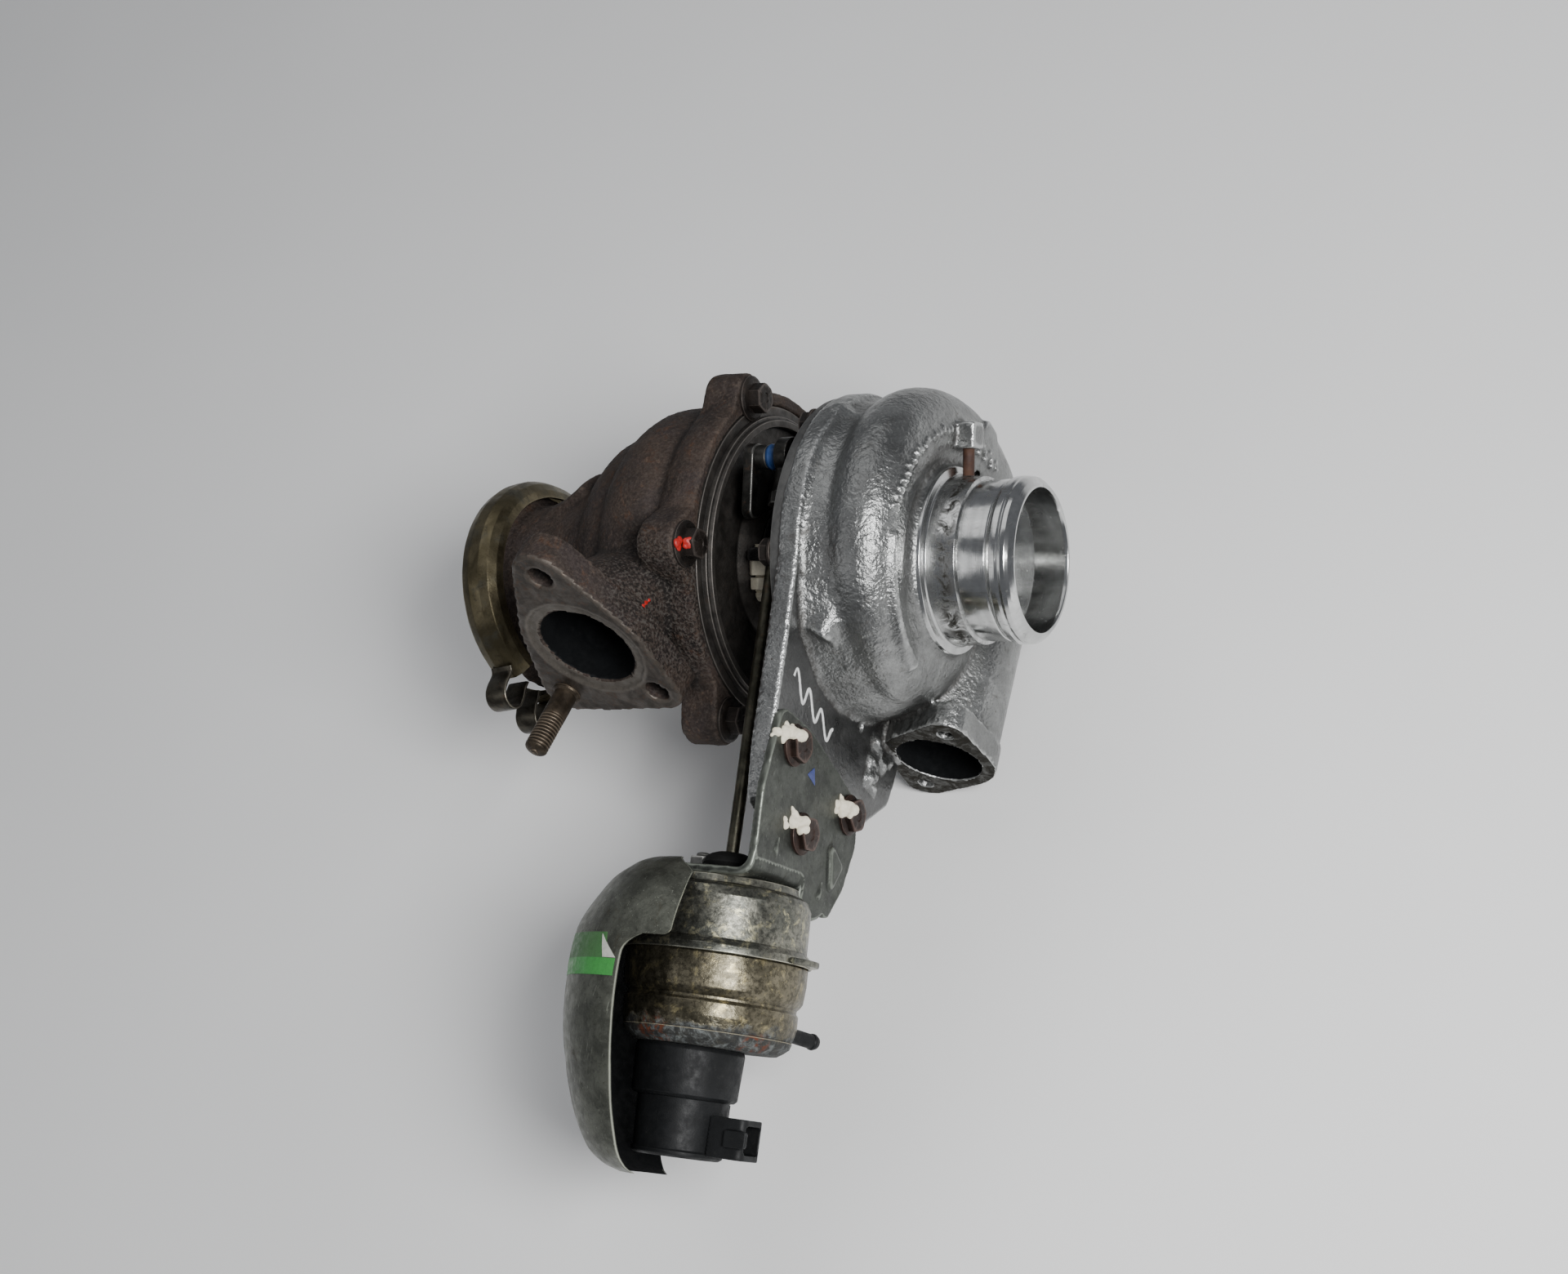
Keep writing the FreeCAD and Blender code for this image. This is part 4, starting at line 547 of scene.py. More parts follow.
def place(name, mesh, body=None, node=None, angle=38):
    mesh.polygons.foreach_set("use_smooth", [True] * len(mesh.polygons))
    if angle:
        mesh.set_sharp_from_angle(angle=math.radians(angle))
    obj = bpy.data.objects.new(name, mesh)
    bpy.context.scene.collection.objects.link(obj)
    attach(obj, body or (body_of(NODES[node])[0] if node else "housing"))
    if node:
        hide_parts(node)
    return obj


def side_frame(axis):
    axis = Vector(axis).normalized()
    u = axis.cross(Vector((0.13, 0.31, 0.94))).normalized()
    return axis, u, axis.cross(u)


def filleted(profile, radius, closed=True, steps=4):
    """Rounds a profile's corners. Gives (along, radius, wear, cavity) points."""
    points = [Vector((p[0], p[1])) for p in profile]
    area = sum(a.x * b.y - b.x * a.y for a, b in zip(points, points[1:] + points[:1]))
    sign = 1 if area > 0 else -1
    result = []
    count = len(points)
    for i, corner in enumerate(points):
        fillet = profile[i][2] if len(profile[i]) > 2 else radius
        if not closed and i in (0, count - 1):
            result.append((corner.x, corner.y, 0.0, 0.0))
            continue
        before = points[i - 1] - corner
        after = points[(i + 1) % count] - corner
        turn = (-before).x * after.y - (-before).y * after.x
        angle = before.angle(after, math.pi)
        if angle > math.radians(176) or fillet <= 0:
            result.append((corner.x, corner.y, 0.0, 0.0))
            continue
        reach = min(fillet / math.tan(angle / 2), before.length * 0.46, after.length * 0.46)
        start = corner + before.normalized() * reach
        end = corner + after.normalized() * reach
        sharp = min(1.0, (math.pi - angle) / 1.2)
        outer = turn * sign > 0
        for k in range(steps + 1):
            t = k / steps
            p = start * (1 - t) ** 2 + corner * (2 * t * (1 - t)) + end * t ** 2
            peak = math.sin(math.pi * (0.15 + 0.7 * t)) * sharp
            result.append((p.x, p.y, peak if outer else 0.0, 0.0 if outer else peak))
    return result


def lathe(name, profile, material, centre=ORIGIN, axis=X_AXIS, body=None, node=None, fillet=0.4,
          steps=128, closed=True, start=0.0, sweep=360.0, ripple=0.0, zero=None):
    """A turned piece from (along, radius) points, with rounded corners and a slightly uneven wall."""
    centre = Vector(centre)
    axis, u, w = side_frame(axis)
    if zero is not None:
        u = (zero - axis * zero.dot(axis)).normalized()
        w = axis.cross(u)
    line = filleted(profile, fillet, closed)
    whole = abs(sweep) >= 360
    columns = steps if whole else steps + 1
    verts, wear, cavity, faces = [], [], [], []
    for c in range(columns):
        a = math.radians(start + sweep * c / steps)
        out = u * math.cos(a) + w * math.sin(a)
        for along, r, worn, hollow in line:
            p = centre + axis * along + out * max(r, 0.001)
            if ripple:
                p += out * (ripple * (noise.noise(p * 0.09) + 0.4 * noise.noise(p * 0.3)))
            verts.append(p)
            wear.append(worn)
            cavity.append(hollow)
    rows = len(line)
    spans = rows if closed else rows - 1
    for c in range(columns if whole else columns - 1):
        d = (c + 1) % columns
        for r in range(spans):
            q = (r + 1) % rows
            faces.append((c * rows + r, c * rows + q, d * rows + q, d * rows + r))
    if not whole and closed:
        faces.append(tuple(range(rows)))
        faces.append(tuple(reversed(range((columns - 1) * rows, columns * rows))))
    return make(name, verts, faces, material, body, node, wear, cavity)


def tube(name, path, radius, material, body=None, node=None, sides=24, caps=True, flat=1.0, up=None):
    """A round bar along points. radius is one number or one for each point; flat squashes it across up."""
    path = [Vector(p) for p in path]
    count = len(path)
    radii = radius if isinstance(radius, (list, tuple)) else [radius] * count
    verts, faces = [], []
    tangent = (path[1] - path[0]).normalized()
    u = up.copy() if up is not None else side_frame(tangent)[1]
    for i, p in enumerate(path):
        ahead = path[min(i + 1, count - 1)] - path[max(i - 1, 0)]
        tangent = ahead.normalized()
        u = (u - tangent * u.dot(tangent)).normalized()
        w = tangent.cross(u)
        for k in range(sides):
            a = 2 * math.pi * k / sides
            verts.append(p + u * (radii[i] * math.cos(a) * flat) + w * (radii[i] * math.sin(a)))
    for i in range(count - 1):
        for k in range(sides):
            m = (k + 1) % sides
            faces.append((i * sides + k, i * sides + m, (i + 1) * sides + m, (i + 1) * sides + k))
    if caps:
        faces.append(tuple(reversed(range(sides))))
        faces.append(tuple(range((count - 1) * sides, count * sides)))
    return make(name, verts, faces, material, body, node)


def hex_head(name, seat, direction, across, height, material, body=None, node=None, washer=None, dome=0.35,
             spin=0.0, stretch=None):
    """A hexagon with rounded, chamfered corners, on a washer that is (radius, thickness)."""
    axis, u, w = side_frame(direction)
    layers = [(0.0, 0.985), (0.12, 1.0), (height - dome * 2.2, 1.0), (height - dome, 0.97),
              (height - dome * 0.25, 0.86),
              (height, 0.72), (height, 0.4), (height - 0.25, 0.34), (height - 0.3, 0.001)]
    base = washer[1] if washer else 0.0
    verts, faces, wear = [], [], []
    sides = 48
    for level, scale in layers:
        for k in range(sides):
            a = 2 * math.pi * k / sides
            wedge = (a + math.pi / 6) % (math.pi / 3) - math.pi / 6
            flat_r = across / 2 / math.cos(wedge)
            round_r = across / 2 * 1.12
            r = min(flat_r, round_r) * 1.0
            if scale < 0.98:
                r = min(r, across / 2 * 1.12 * scale / 0.9) if scale > 0.8 else across / 2 * scale
            p = seat + axis * (base + level) + (u * math.cos(a + spin) + w * math.sin(a + spin)) * r
            verts.append(p)
            wear.append(1.0 if 0.8 < scale < 0.99 and level > 1 else 0.6 * (abs(wedge) > 0.42))
    rows = len(layers)
    for i in range(rows - 1):
        for k in range(sides):
            m = (k + 1) % sides
            faces.append((i * sides + k, i * sides + m, (i + 1) * sides + m, (i + 1) * sides + k))
    obj = make(name, verts, faces, material, body, node, wear, None, 30)
    pieces = [obj]
    if washer:
        r, t = washer
        pieces.append(lathe(name + "_flange",
                            [(0, 0.5), (0, r), (t * 0.6, r), (t, r * 0.86), (t + 0.3, across * 0.5),
                                               (t + 0.3, 0.5)], material, seat, direction, body, node, 0.3,
                            64))
    return pieces


def numbers(mesh):
    co = np.empty(len(mesh.vertices) * 3, np.float32)
    mesh.vertices.foreach_get("co", co)
    edges = np.empty(len(mesh.edges) * 2, np.int32)
    mesh.edges.foreach_get("vertices", edges)
    return co.reshape(-1, 3).astype(np.float64) / MM, edges.reshape(-1, 2)


def relax(co, edges, passes, strength=0.5, weight=None):
    a, b = edges[:, 0], edges[:, 1]
    count = len(co)
    degree = np.maximum(np.bincount(a, minlength=count) + np.bincount(b, minlength=count), 1)
    for _ in range(passes):
        mean = np.empty_like(co)
        for k in range(3):
            total = np.bincount(a, co[b, k], count) + np.bincount(b, co[a, k], count)
            mean[:, k] = total / degree
        step = (mean - co) * strength
        if weight is not None:
            step *= weight[:, None]
        co = co + step
    return co


def normals_of(mesh):
    n = np.empty(len(mesh.vertices) * 3, np.float32)
    mesh.vertex_normals.foreach_get("vector", n)
    return n.reshape(-1, 3)


def field(co, size, seed=0.0, octaves=3):
    """Smooth noise at each point, about -1..1."""
    scale = 1.0 / size
    shift = Vector((seed, seed * 1.7, seed * 0.6))
    return np.array([noise.fractal(Vector(p) * scale + shift, 0.7, 2.0, octaves) for p in co])


def write(mesh, co):
    mesh.vertices.foreach_set("co", (co * MM).astype(np.float32).ravel())
    mesh.update()


def shade_attributes(mesh, co, edges, reach=8, scale=0.28):
    flat = relax(co, edges, reach)
    curve = np.einsum("ij,ij->i", flat - co, normals_of(mesh))
    broad = relax(co, edges, reach * 5)
    broad_curve = np.einsum("ij,ij->i", broad - co, normals_of(mesh))
    for key, values in (("wear", np.clip(-curve / scale, 0, 1)),
                        ("cavity", np.clip(broad_curve / scale / 3, 0, 1))):
        attribute = mesh.attributes.new(key, "FLOAT", "POINT")
        attribute.data.foreach_set("value", values.astype(np.float32))


def remeshed(node, voxel, cut=None, extra=(), reach=None):
    """A closed even mesh from a CAD node, optionally cut off beyond a plane and joined with other meshes.

    With reach, in millimetres, only what lies that close to the rotor's axis is cut."""
    source = NODES[node]
    mesh = source.data.copy()
    bm = bmesh.new()
    bm.from_mesh(mesh)
    bmesh.ops.remove_doubles(bm, verts=bm.verts, dist=0.002 * MM)
    if cut is not None:
        point, normal = cut
        near = {v for v in bm.verts if reach is None or math.hypot(v.co.y, v.co.z) < reach * MM}
        chosen = [e for kind in (bm.edges, bm.faces) for e in kind if near.issuperset(e.verts)]
        result = bmesh.ops.bisect_plane(bm, geom=list(near) + chosen, dist=1e-7, plane_co=Vector(point) * MM,
                                        plane_no=normal, clear_outer=True)
        rim = [g for g in result["geom_cut"] if isinstance(g, bmesh.types.BMEdge)]
        bmesh.ops.triangle_fill(bm, use_beauty=True, edges=rim)
    for other in extra:
        bm.from_mesh(other)
    bm.to_mesh(mesh)
    bm.free()
    obj = bpy.data.objects.new("temporary", mesh)
    bpy.context.scene.collection.objects.link(obj)
    modifier = obj.modifiers.new("remesh", "REMESH")
    modifier.mode = "VOXEL"
    modifier.voxel_size = voxel * MM
    graph = bpy.context.evaluated_depsgraph_get()
    result = bpy.data.meshes.new_from_object(obj.evaluated_get(graph))
    bpy.data.objects.remove(obj)
    result.materials.clear()
    return result


def dist_axis(co, point, axis):
    """(along the axis, away from it) of each point."""
    axis = np.array(Vector(axis).normalized())
    rel = co - np.array(point)
    along = rel @ axis
    return along, np.linalg.norm(rel - along[:, None] * axis, axis=1)


def faces_axis(co, normal, point, axis, reach):
    """Which points lie within reach of an axis and look towards it, as the wall of a bore does."""
    unit = np.array(Vector(axis).normalized())
    along, away = dist_axis(co, point, axis)
    out = co - (np.array(point) + along[:, None] * unit)
    return (away < reach) & (np.einsum("ij,ij->i", out, normal) < -0.25 * away)


def snap_cylinder(co, point, axis, radius, tolerance, low, high):
    """Pulls points that lie near a cylinder exactly onto it."""
    unit = np.array(Vector(axis).normalized())
    along, away = dist_axis(co, point, axis)
    chosen = (np.abs(away - radius) < tolerance) & (along > low) & (along < high)
    base = np.array(point) + along[:, None] * unit
    out = (co - base) / np.maximum(away, 1e-6)[:, None]
    co[chosen] = (base + out * radius)[chosen]
    return chosen


def snap_plane(co, point, normal, tolerance, where=None):
    unit = np.array(Vector(normal).normalized())
    d = (co - np.array(point)) @ unit
    chosen = np.abs(d) < tolerance
    if where is not None:
        chosen &= where
    co[chosen] -= d[chosen][:, None] * unit
    return chosen


def face_material(mesh, vertex_mask, index):
    """Faces whose corners are all marked take another material slot."""
    loops = np.empty(len(mesh.loops), np.int32)
    mesh.loops.foreach_get("vertex_index", loops)
    starts = np.empty(len(mesh.polygons), np.int32)
    mesh.polygons.foreach_get("loop_start", starts)
    current = np.zeros(len(mesh.polygons), np.int32)
    mesh.polygons.foreach_get("material_index", current)
    marked = np.add.reduceat(vertex_mask[loops].astype(np.int32), starts)
    totals = np.empty(len(mesh.polygons), np.int32)
    mesh.polygons.foreach_get("loop_total", totals)
    current[marked == totals] = index
    mesh.polygons.foreach_set("material_index", current)

for key, node in NODES.items():
    node.data.materials.clear()
    node.data.materials.append(MATERIALS[NODE_MATERIALS[key]])

# ---- stage ---------------------------------------------------------------------------------
def build_stage():
    floor_mesh = bpy.data.meshes.new("floor")
    level = CAD_BOX[0][2] - 0.0006
    size = 3.0
    floor_mesh.from_pydata([(-size, -size, level), (size, -size, level), (size, size, level),
                            (-size, size, level)], [],
                           [(0, 1, 2, 3)])
    s = Shader("pale_floor", rough=0.75)
    tone = s.noise(300, 4, 0.5)
    s.done(s.mix(s.band(tone, 0.3, 0.7), (0.92, 0.92, 0.915), (0.96, 0.96, 0.955)))
    floor_mesh.materials.append(s.mat)
    floor = bpy.data.objects.new("floor", floor_mesh)
    bpy.context.scene.collection.objects.link(floor)

    world = bpy.data.worlds.new("studio")
    world.use_nodes = True
    world.node_tree.nodes["Background"].inputs["Color"].default_value = (0.9, 0.93, 1.0, 1)
    world.node_tree.nodes["Background"].inputs["Strength"].default_value = 0.18
    bpy.context.scene.world = world

    target = Vector((-0.09, -0.03, 0.0))
    lights = [("key", (0.53, -0.30, 0.60), 0.3, 9.5), ("fill", (-0.75, -0.6, 0.85), 0.7, 1.5),
              ("top", (-0.25, 0.5, 0.95), 0.9, 2.5)]
    for name, position, size, power in lights:
        data = bpy.data.lights.new(name, "AREA")
        data.size = size
        data.energy = power
        obj = bpy.data.objects.new(name, data)
        bpy.context.scene.collection.objects.link(obj)
        obj.location = position
        obj.rotation_euler = (target - Vector(position)).to_track_quat("-Z", "Y").to_euler()

    camera = bpy.data.cameras.new("camera")
    camera.sensor_width = 36.0
    camera.lens = 48.75
    camera.clip_start = 0.01
    obj = bpy.data.objects.new("camera", camera)
    bpy.context.scene.collection.objects.link(obj)
    right = Vector((0.8793, 0.2438, -0.4091))
    up = Vector((-0.0105, 0.8688, 0.4951))
    back = Vector((0.4761, -0.431, 0.7665))
    matrix = Matrix((right, up, back)).transposed().to_4x4()
    matrix.translation = Vector((0.2502, -0.3333, 0.5407))
    obj.matrix_world = matrix
    bpy.context.scene.camera = obj


build_stage()

# ---- compressor side ------------------------------------------------------------------------
HOUSING_FRONT = -28.7
HOUSING_REAR = -66.0
WEB_FRONT = -59.0
BRACKET_OUT = WEB_FRONT + 2.5
BACKPLATE_REAR = -69.5
HOUSING_BOLT_R = 49.5
INLET_CUT_REACH = 32.5
PORT_R = 14.8


def around(x, radius, degrees):
    a = math.radians(degrees)
    return Vector((x, radius * math.cos(a), radius * math.sin(a)))


def lump(centre, radii, turn=0.0, seed=0.0, rough=0.25):
    """A rough pebble, made to be melted into a casting. radii are along X, outwards and sideways."""
    bm = bmesh.new()
    bmesh.ops.create_icosphere(bm, subdivisions=3, radius=1.0)
    out = Vector((0, math.cos(turn), math.sin(turn)))
    side = Vector((0, -math.sin(turn), math.cos(turn)))
    for vert in bm.verts:
        p = vert.co * (1 + rough * noise.noise(vert.co * 1.6 + Vector((seed, 0, 0))))
        vert.co = (Vector(centre) + X_AXIS * (p.x * radii[0]) + out * (p.y * radii[1]) + side
                   * (p.z * radii[2])) * MM
    mesh = bpy.data.meshes.new("lump")
    bm.to_mesh(mesh)
    bm.free()
    return mesh


def wedge(points):
    """A small solid hull round points, made to be melted into a sheet part."""
    bm = bmesh.new()
    for p in points:
        bm.verts.new(Vector(p) * MM)
    bmesh.ops.convex_hull(bm, input=bm.verts)
    mesh = bpy.data.meshes.new("wedge")
    bm.to_mesh(mesh)
    bm.free()
    return mesh


def volute_top(degrees):
    """The compressor scroll's highest X at an angle."""
    return SCROLL_X + np.interp(degrees, [-90, -40, 20, 80, 140, 200, 228],
                                [18.2, 17.2, 15, 13.4, 11.6, 9, 7.5])


SCROLL_X = -43.0


BOSS_ANGLE = 30.0
BOSS_SIDE = Vector((0, -math.sin(math.radians(BOSS_ANGLE)), math.cos(math.radians(BOSS_ANGLE))))
BLEND_FOOT = [(-59.5, -33.0, 44.0), (-59.5, -46.0, 35.0), (-59.5, -54.5, 14.0), (-59.5, -55.5, -2.0),
              (-59.5, -50.0, -12.0)]
BLEND_TOP = [(-45.0, -29.0, 41.5), (-39.0, -38.5, 31.0), (-37.0, -46.0, 16.0), (-38.0, -46.5, 3.0),
             (-42.0, -45.0, -8.0)]


def cast_marks():
    """Raised cast marks round the inlet, the rib below it, the pin's boss and the lumps by the outlet."""
    marks = []
    for i in range(17):
        degrees = 41 + i * 3.7
        size = 0.75 + 0.45 * abs(noise.noise(Vector((i * 1.7, 3.1, 0))))
        radius = 42.9 + i * 0.23 + 1.4 * noise.noise(Vector((i * 2.3, 0, 5)))
        marks.append(lump(around(volute_top(degrees) + 0.1, radius, degrees), (1.5, 1.9 * size, 0.95 * size),
                          math.radians(degrees), i))
    for i in range(9):
        degrees = -9 + i * 2.5
        marks.append(lump(around(volute_top(degrees) + 0.2, 40.0 + 1.9 * math.sin(i * 2.1), degrees),
                          (1.3, 1.1, 0.9), math.radians(degrees), i + 30))
    steps = 30
    for i in range(steps + 1):
        t = i / steps
        degrees = 112 + 58 * t
        width = 1.3 + 1.8 * t
        top = around(volute_top(degrees) - 0.9 + 0.2 * t, 45.6 - 2.2 * t, degrees)
        marks.append(lump(top, (2.0 + 1.0 * t, width, 1.9), math.radians(degrees), i, 0.06))
    boss = [around(x, radius, BOSS_ANGLE) + BOSS_SIDE * across
            for x in (-37.0, -22.0) for radius in (36.2, 45.0) for across in (-4.3, 4.3)]
    marks.append(wedge(boss))
    marks.append(wedge(BLEND_FOOT + BLEND_TOP))
    marks.append(lump(around(-61.0, 52.0, 58), (5.0, 4.6, 5.6), math.radians(58), 3, 0.1))
    marks.append(lump(around(-55.0, 51.0, 58), (6.0, 2.2, 1.6), math.radians(58), 4, 0.1))
    for i in range(26):
        y = -52 - 19 * abs(noise.noise(Vector((i * 1.9, 7, 0)))) * 1.6
        z = -30 - 14 * abs(noise.noise(Vector((i * 2.7, 1, 4)))) * 1.7
        marks.append(lump((WEB_FRONT - 0.5, y, z), (2.4, 2.6, 2.2), i, i + 60, 0.5))
    return marks


def compressor_casting():
    mesh = remeshed("compressor_housing", 0.75, ((HOUSING_FRONT - 0.3, 0, 0), X_AXIS), cast_marks(),
                    INLET_CUT_REACH)
    co, edges = numbers(mesh)
    x, y, z = co.T
    soft = np.interp(x, [-66, -60.5, -57.5, -52], [0.2, 0.3, 1.0, 1.0])
    soft *= np.interp(y, [-46, -38], [0.35, 1.0]) * (z < -15) + (z >= -15)
    soft *= np.interp(x, [-34, -31], [1.0, 0.3])
    co = relax(co, edges, 14, 0.5, soft)
    out = OUTLET_CENTRE
    along, away = dist_axis(co, out, (0, -1, 0))
    bore = (away < 18) & (along > -13)
    web = snap_plane(co, (WEB_FRONT, 0, 0), X_AXIS, 0.3)
    rear = snap_plane(co, (HOUSING_REAR, 0, 0), X_AXIS, 0.3)
    port = snap_plane(co, tuple(out), (0, -1, 0), 0.3, (x > -67) & (co[:, 2] < -20))
    snap_cylinder(co, tuple(out), (0, -1, 0), PORT_R, 0.5, -11.5, 0.1)
    write(mesh, co)
    normal = normals_of(mesh)
    rough = field(co, 1.5, 2, 2) * 0.07 + field(co, 8.5, 5, 2) * 0.1
    calm = np.ones(len(co))
    calm[web | rear] = 0.12
    calm[bore] = 0.25
    calm[x > -32] = 0.5
    near_port = (co[:, 1] < -41) & (away < 30)
    rough[near_port] += 0.35 * field(co[near_port], 3.2, 9, 3)
    calm[port] = 0.3
    co += normal * (rough * calm)[:, None]
    write(mesh, co)
    shade_attributes(mesh, co, edges)
    for key in ("cast", "cast_face", "port", "painted_shade_and_soot"):
        mesh.materials.append(MATERIALS[key])
    face_material(mesh, (np.abs(co[:, 0] - WEB_FRONT) < 0.25) | (np.abs(co[:, 0] - HOUSING_REAR) < 0.25), 1)
    face_material(mesh, port, 2)
    # The outlet bore's wall takes the near-black material: painted shade inside the bore.
    face_material(mesh, faces_axis(co, normal, OUTLET_CENTRE, Vector((0, -1, 0)), 15.4)
                  & (co[:, 1] > -49) & (co[:, 1] < -16), 3)
    place("compressor_casting", mesh, node="compressor_housing", angle=0)
    lathe("compressor_inlet", [(0.0, 23.3, 0.5), (0.1, 24.2, 0.4), (-1.3, 25.8, 0.5), (-2.4, 26.7, 0.7),
                               (-3.7, 27.0, 0.8),
                               (-4.6, 26.75, 0.3), (-5.4, 27.1, 0.6), (-7.3, 27.0, 0.6), (-8.5, 26.1, 0.5),
                               (-9.0, 25.85, 0.2),
                               (-9.5, 26.1, 0.2), (-18.3, 26.1, 0.15), (-18.5, 25.9, 0.1), (-18.9, 27.2, 0.3),
                               (-28.3, 27.8, 0.4), (-28.7, 28.4, 0.4), (-29.0, 30.6, 0.5), (-31.5, 31.2, 0.1),
                               (-31.5, 18.4, 0.1), (-28, 18.4, 1.0), (-12, 23.0, 4.0), (-1.2, 23.0, 0.5)],
          "turned", node="compressor_housing", steps=256)


compressor_casting()
lathe("backplate", [(BACKPLATE_REAR, 7.2), (BACKPLATE_REAR, 54.4), (HOUSING_REAR, 54.4), (HOUSING_REAR, 46),
                    (-62.4, 46),
                    (-62.4, 7.2)], "backplate", node="compressor_backplate", steps=192)
lathe("inlet_pin", [(0, 0), (0, 1.9), (10.4, 1.9), (11.2, 2.0), (12.8, 2.0), (12.8, 0)], "rusty_pin",
      around(-25.8, 25.4, BOSS_ANGLE),
      around(0, 1, BOSS_ANGLE), node="inlet_boss_pin", fillet=0.35, steps=40)


def flanged_bolts(node, seats, direction, shank_r, length, across, flange, head, material):
    for i, seat in enumerate(seats):
        hex_head("%s_%d" % (node, i + 1), seat, direction, across, head - 1.6, material, node=node,
                 washer=(flange, 1.6), spin=0.4 + i * 1.3)
        threaded("%s_shank_%d" % (node, i + 1), seat + direction * 0.4, -direction, length, shank_r, 1.0,
                 material,
                 node=node)


def threaded(name, start, direction, length, radius, pitch, material, node=None, plain=0.0, tip=0.8,
             depth=None):
    """A shank with a rolled thread and a rounded tip. Its first stretch, plain, is smooth and thicker."""
    axis, u, w = side_frame(direction)
    depth = depth or pitch * 0.5
    rows = max(8, int(length / pitch * 9))
    sides = 40
    verts, faces, wear, cavity = [], [], [], []
    for i in range(rows + 1):
        along = length * i / rows
        for k in range(sides):
            a = 2 * math.pi * k / sides
            phase = (along / pitch - k / sides) % 1.0
            ridge = min(1.0, abs(phase - 0.5) * 2.6)
            fade = min(1.0, max(0.0, (along - plain) / pitch)) * min(1.0, max(0.0, (length - tip - along)
                                                                              / pitch + 0.4))
            r = radius - depth * (1 - ridge) * fade
            if along > length - tip:
                t = (along - (length - tip)) / tip
                r *= math.sqrt(max(0.05, 1 - (t * 0.85) ** 2))
            verts.append(Vector(start) + axis * along + (u * math.cos(a) + w * math.sin(a)) * r)
            wear.append(0.7 * ridge * fade)
            cavity.append(0.8 * (1 - ridge) * fade)
    for i in range(rows):
        for k in range(sides):
            m = (k + 1) % sides
            faces.append((i * sides + k, i * sides + m, (i + 1) * sides + m, (i + 1) * sides + k))
    faces.append(tuple(reversed(range(sides))))
    faces.append(tuple(range(rows * sides, (rows + 1) * sides)))
    return make(name, verts, faces, material, None, node, wear, cavity, 50)


flanged_bolts("compressor_bolts", [around(BACKPLATE_REAR, HOUSING_BOLT_R, 58 + 60 * i) for i in range(6)],
              -X_AXIS, 2.4, 9.4, 8.0, 5.4, 4.6, "bolt")

# ---- turbine side ----------------------------------------------------------------------------
TURBINE_FACE = -96.8
TURBINE_BOLTS = [(49, 57.0), (116, 60.5), (178.5, 61.5), (243, 60.0), (308, 58.0)]
MANIFOLD_BORE_R = 16.5
MANIFOLD_HOLES = [(-0.9, 32.7), (18.0, -19.7), (-19.3, -23.3)]


def outlet_point(depth, radius, degrees):
    """A point round the turbine outlet's axis, depth in from the clamp."""
    up = (Vector((0, 0, 1)) - RING_NORMAL * RING_NORMAL.z).normalized()
    a = math.radians(degrees)
    return RING_CENTRE + RING_NORMAL * depth + (up * math.cos(a) + RING_NORMAL.cross(up)
                                                * math.sin(a)) * radius


def outlet_wall():
    """The outlet cone's wall on the far side.

    The CAD solid is open here, because the bore behind the turbine wheel breaks through it; the real
    casting is closed."""
    shape = [(11, 30.6), (16, 31.6), (21, 33.2), (26, 35.4), (31, 38.0)]
    return [wedge([outlet_point(depth, radius - inside, turn)
                   for depth, radius in pair for turn in (degrees, degrees + 10) for inside in (0, 3.2)])
            for degrees in range(226, 326, 9) for pair in zip(shape, shape[1:])]


def turbine_casting():
    mesh = remeshed("turbine_housing", 0.85, extra=outlet_wall())
    co, edges = numbers(mesh)
    depth, away = dist_axis(co, MANIFOLD_CENTRE, -MANIFOLD_NORMAL)
    near_flange = (depth < 13) & (away < 46)
    x = co[:, 0]
    soft = np.where(near_flange, 0.3, 1.0) * np.interp(x, [-112, -104], [1.0, 0.55])
    co = relax(co, edges, 13, 0.5, soft)
    depth, away = dist_axis(co, MANIFOLD_CENTRE, -MANIFOLD_NORMAL)
    face = snap_plane(co, MANIFOLD_CENTRE, MANIFOLD_NORMAL, 0.32, away < 46)
    groove = snap_plane(co, manifold_point(0, 0, 0.8), MANIFOLD_NORMAL, 0.3, (away < 20.4) & (away > 16))
    snap_cylinder(co, MANIFOLD_CENTRE, -MANIFOLD_NORMAL, MANIFOLD_BORE_R, 0.55, 0.8, 13)
    for u, w in MANIFOLD_HOLES[:2]:
        snap_cylinder(co, manifold_point(u, w), -MANIFOLD_NORMAL, 4.3, 0.5, 0.0, 11)
    rim = snap_plane(co, (TURBINE_FACE, 0, 0), X_AXIS, 0.32)
    write(mesh, co)
    normal = normals_of(mesh)
    rough = field(co, 1.7, 3, 3) * 0.15 + field(co, 8, 6, 2) * 0.16
    lumpy = (np.linalg.norm(co - np.array(manifold_point(20, 20, 16)), axis=1) < 26) & ~near_flange
    rough[lumpy] += 0.3 * np.maximum(field(co[lumpy], 2.6, 12, 2), 0)
    calm = np.where(face | groove | rim, 0.22, 1.0)
    co += normal * (rough * calm)[:, None]
    write(mesh, co)
    shade_attributes(mesh, co, edges)
    for key in ("rust", "flange", "painted_shade_and_soot"):
        mesh.materials.append(MATERIALS[key])
    depth, away = dist_axis(co, MANIFOLD_CENTRE, -MANIFOLD_NORMAL)
    face_material(mesh, (depth < 1.3) & (away < 46), 1)
    # The exhaust bores take the near-black material: soot, and painted shade inside the bores.
    face_material(mesh, (depth > 1.0) & (depth < 60) & faces_axis(co, normal, MANIFOLD_CENTRE,
                                                                  MANIFOLD_NORMAL, 17.5), 2)
    face_material(mesh, faces_axis(co, normal, RING_CENTRE, RING_NORMAL, 30.2), 2)
    place("turbine_casting", mesh, node="turbine_housing", angle=0)


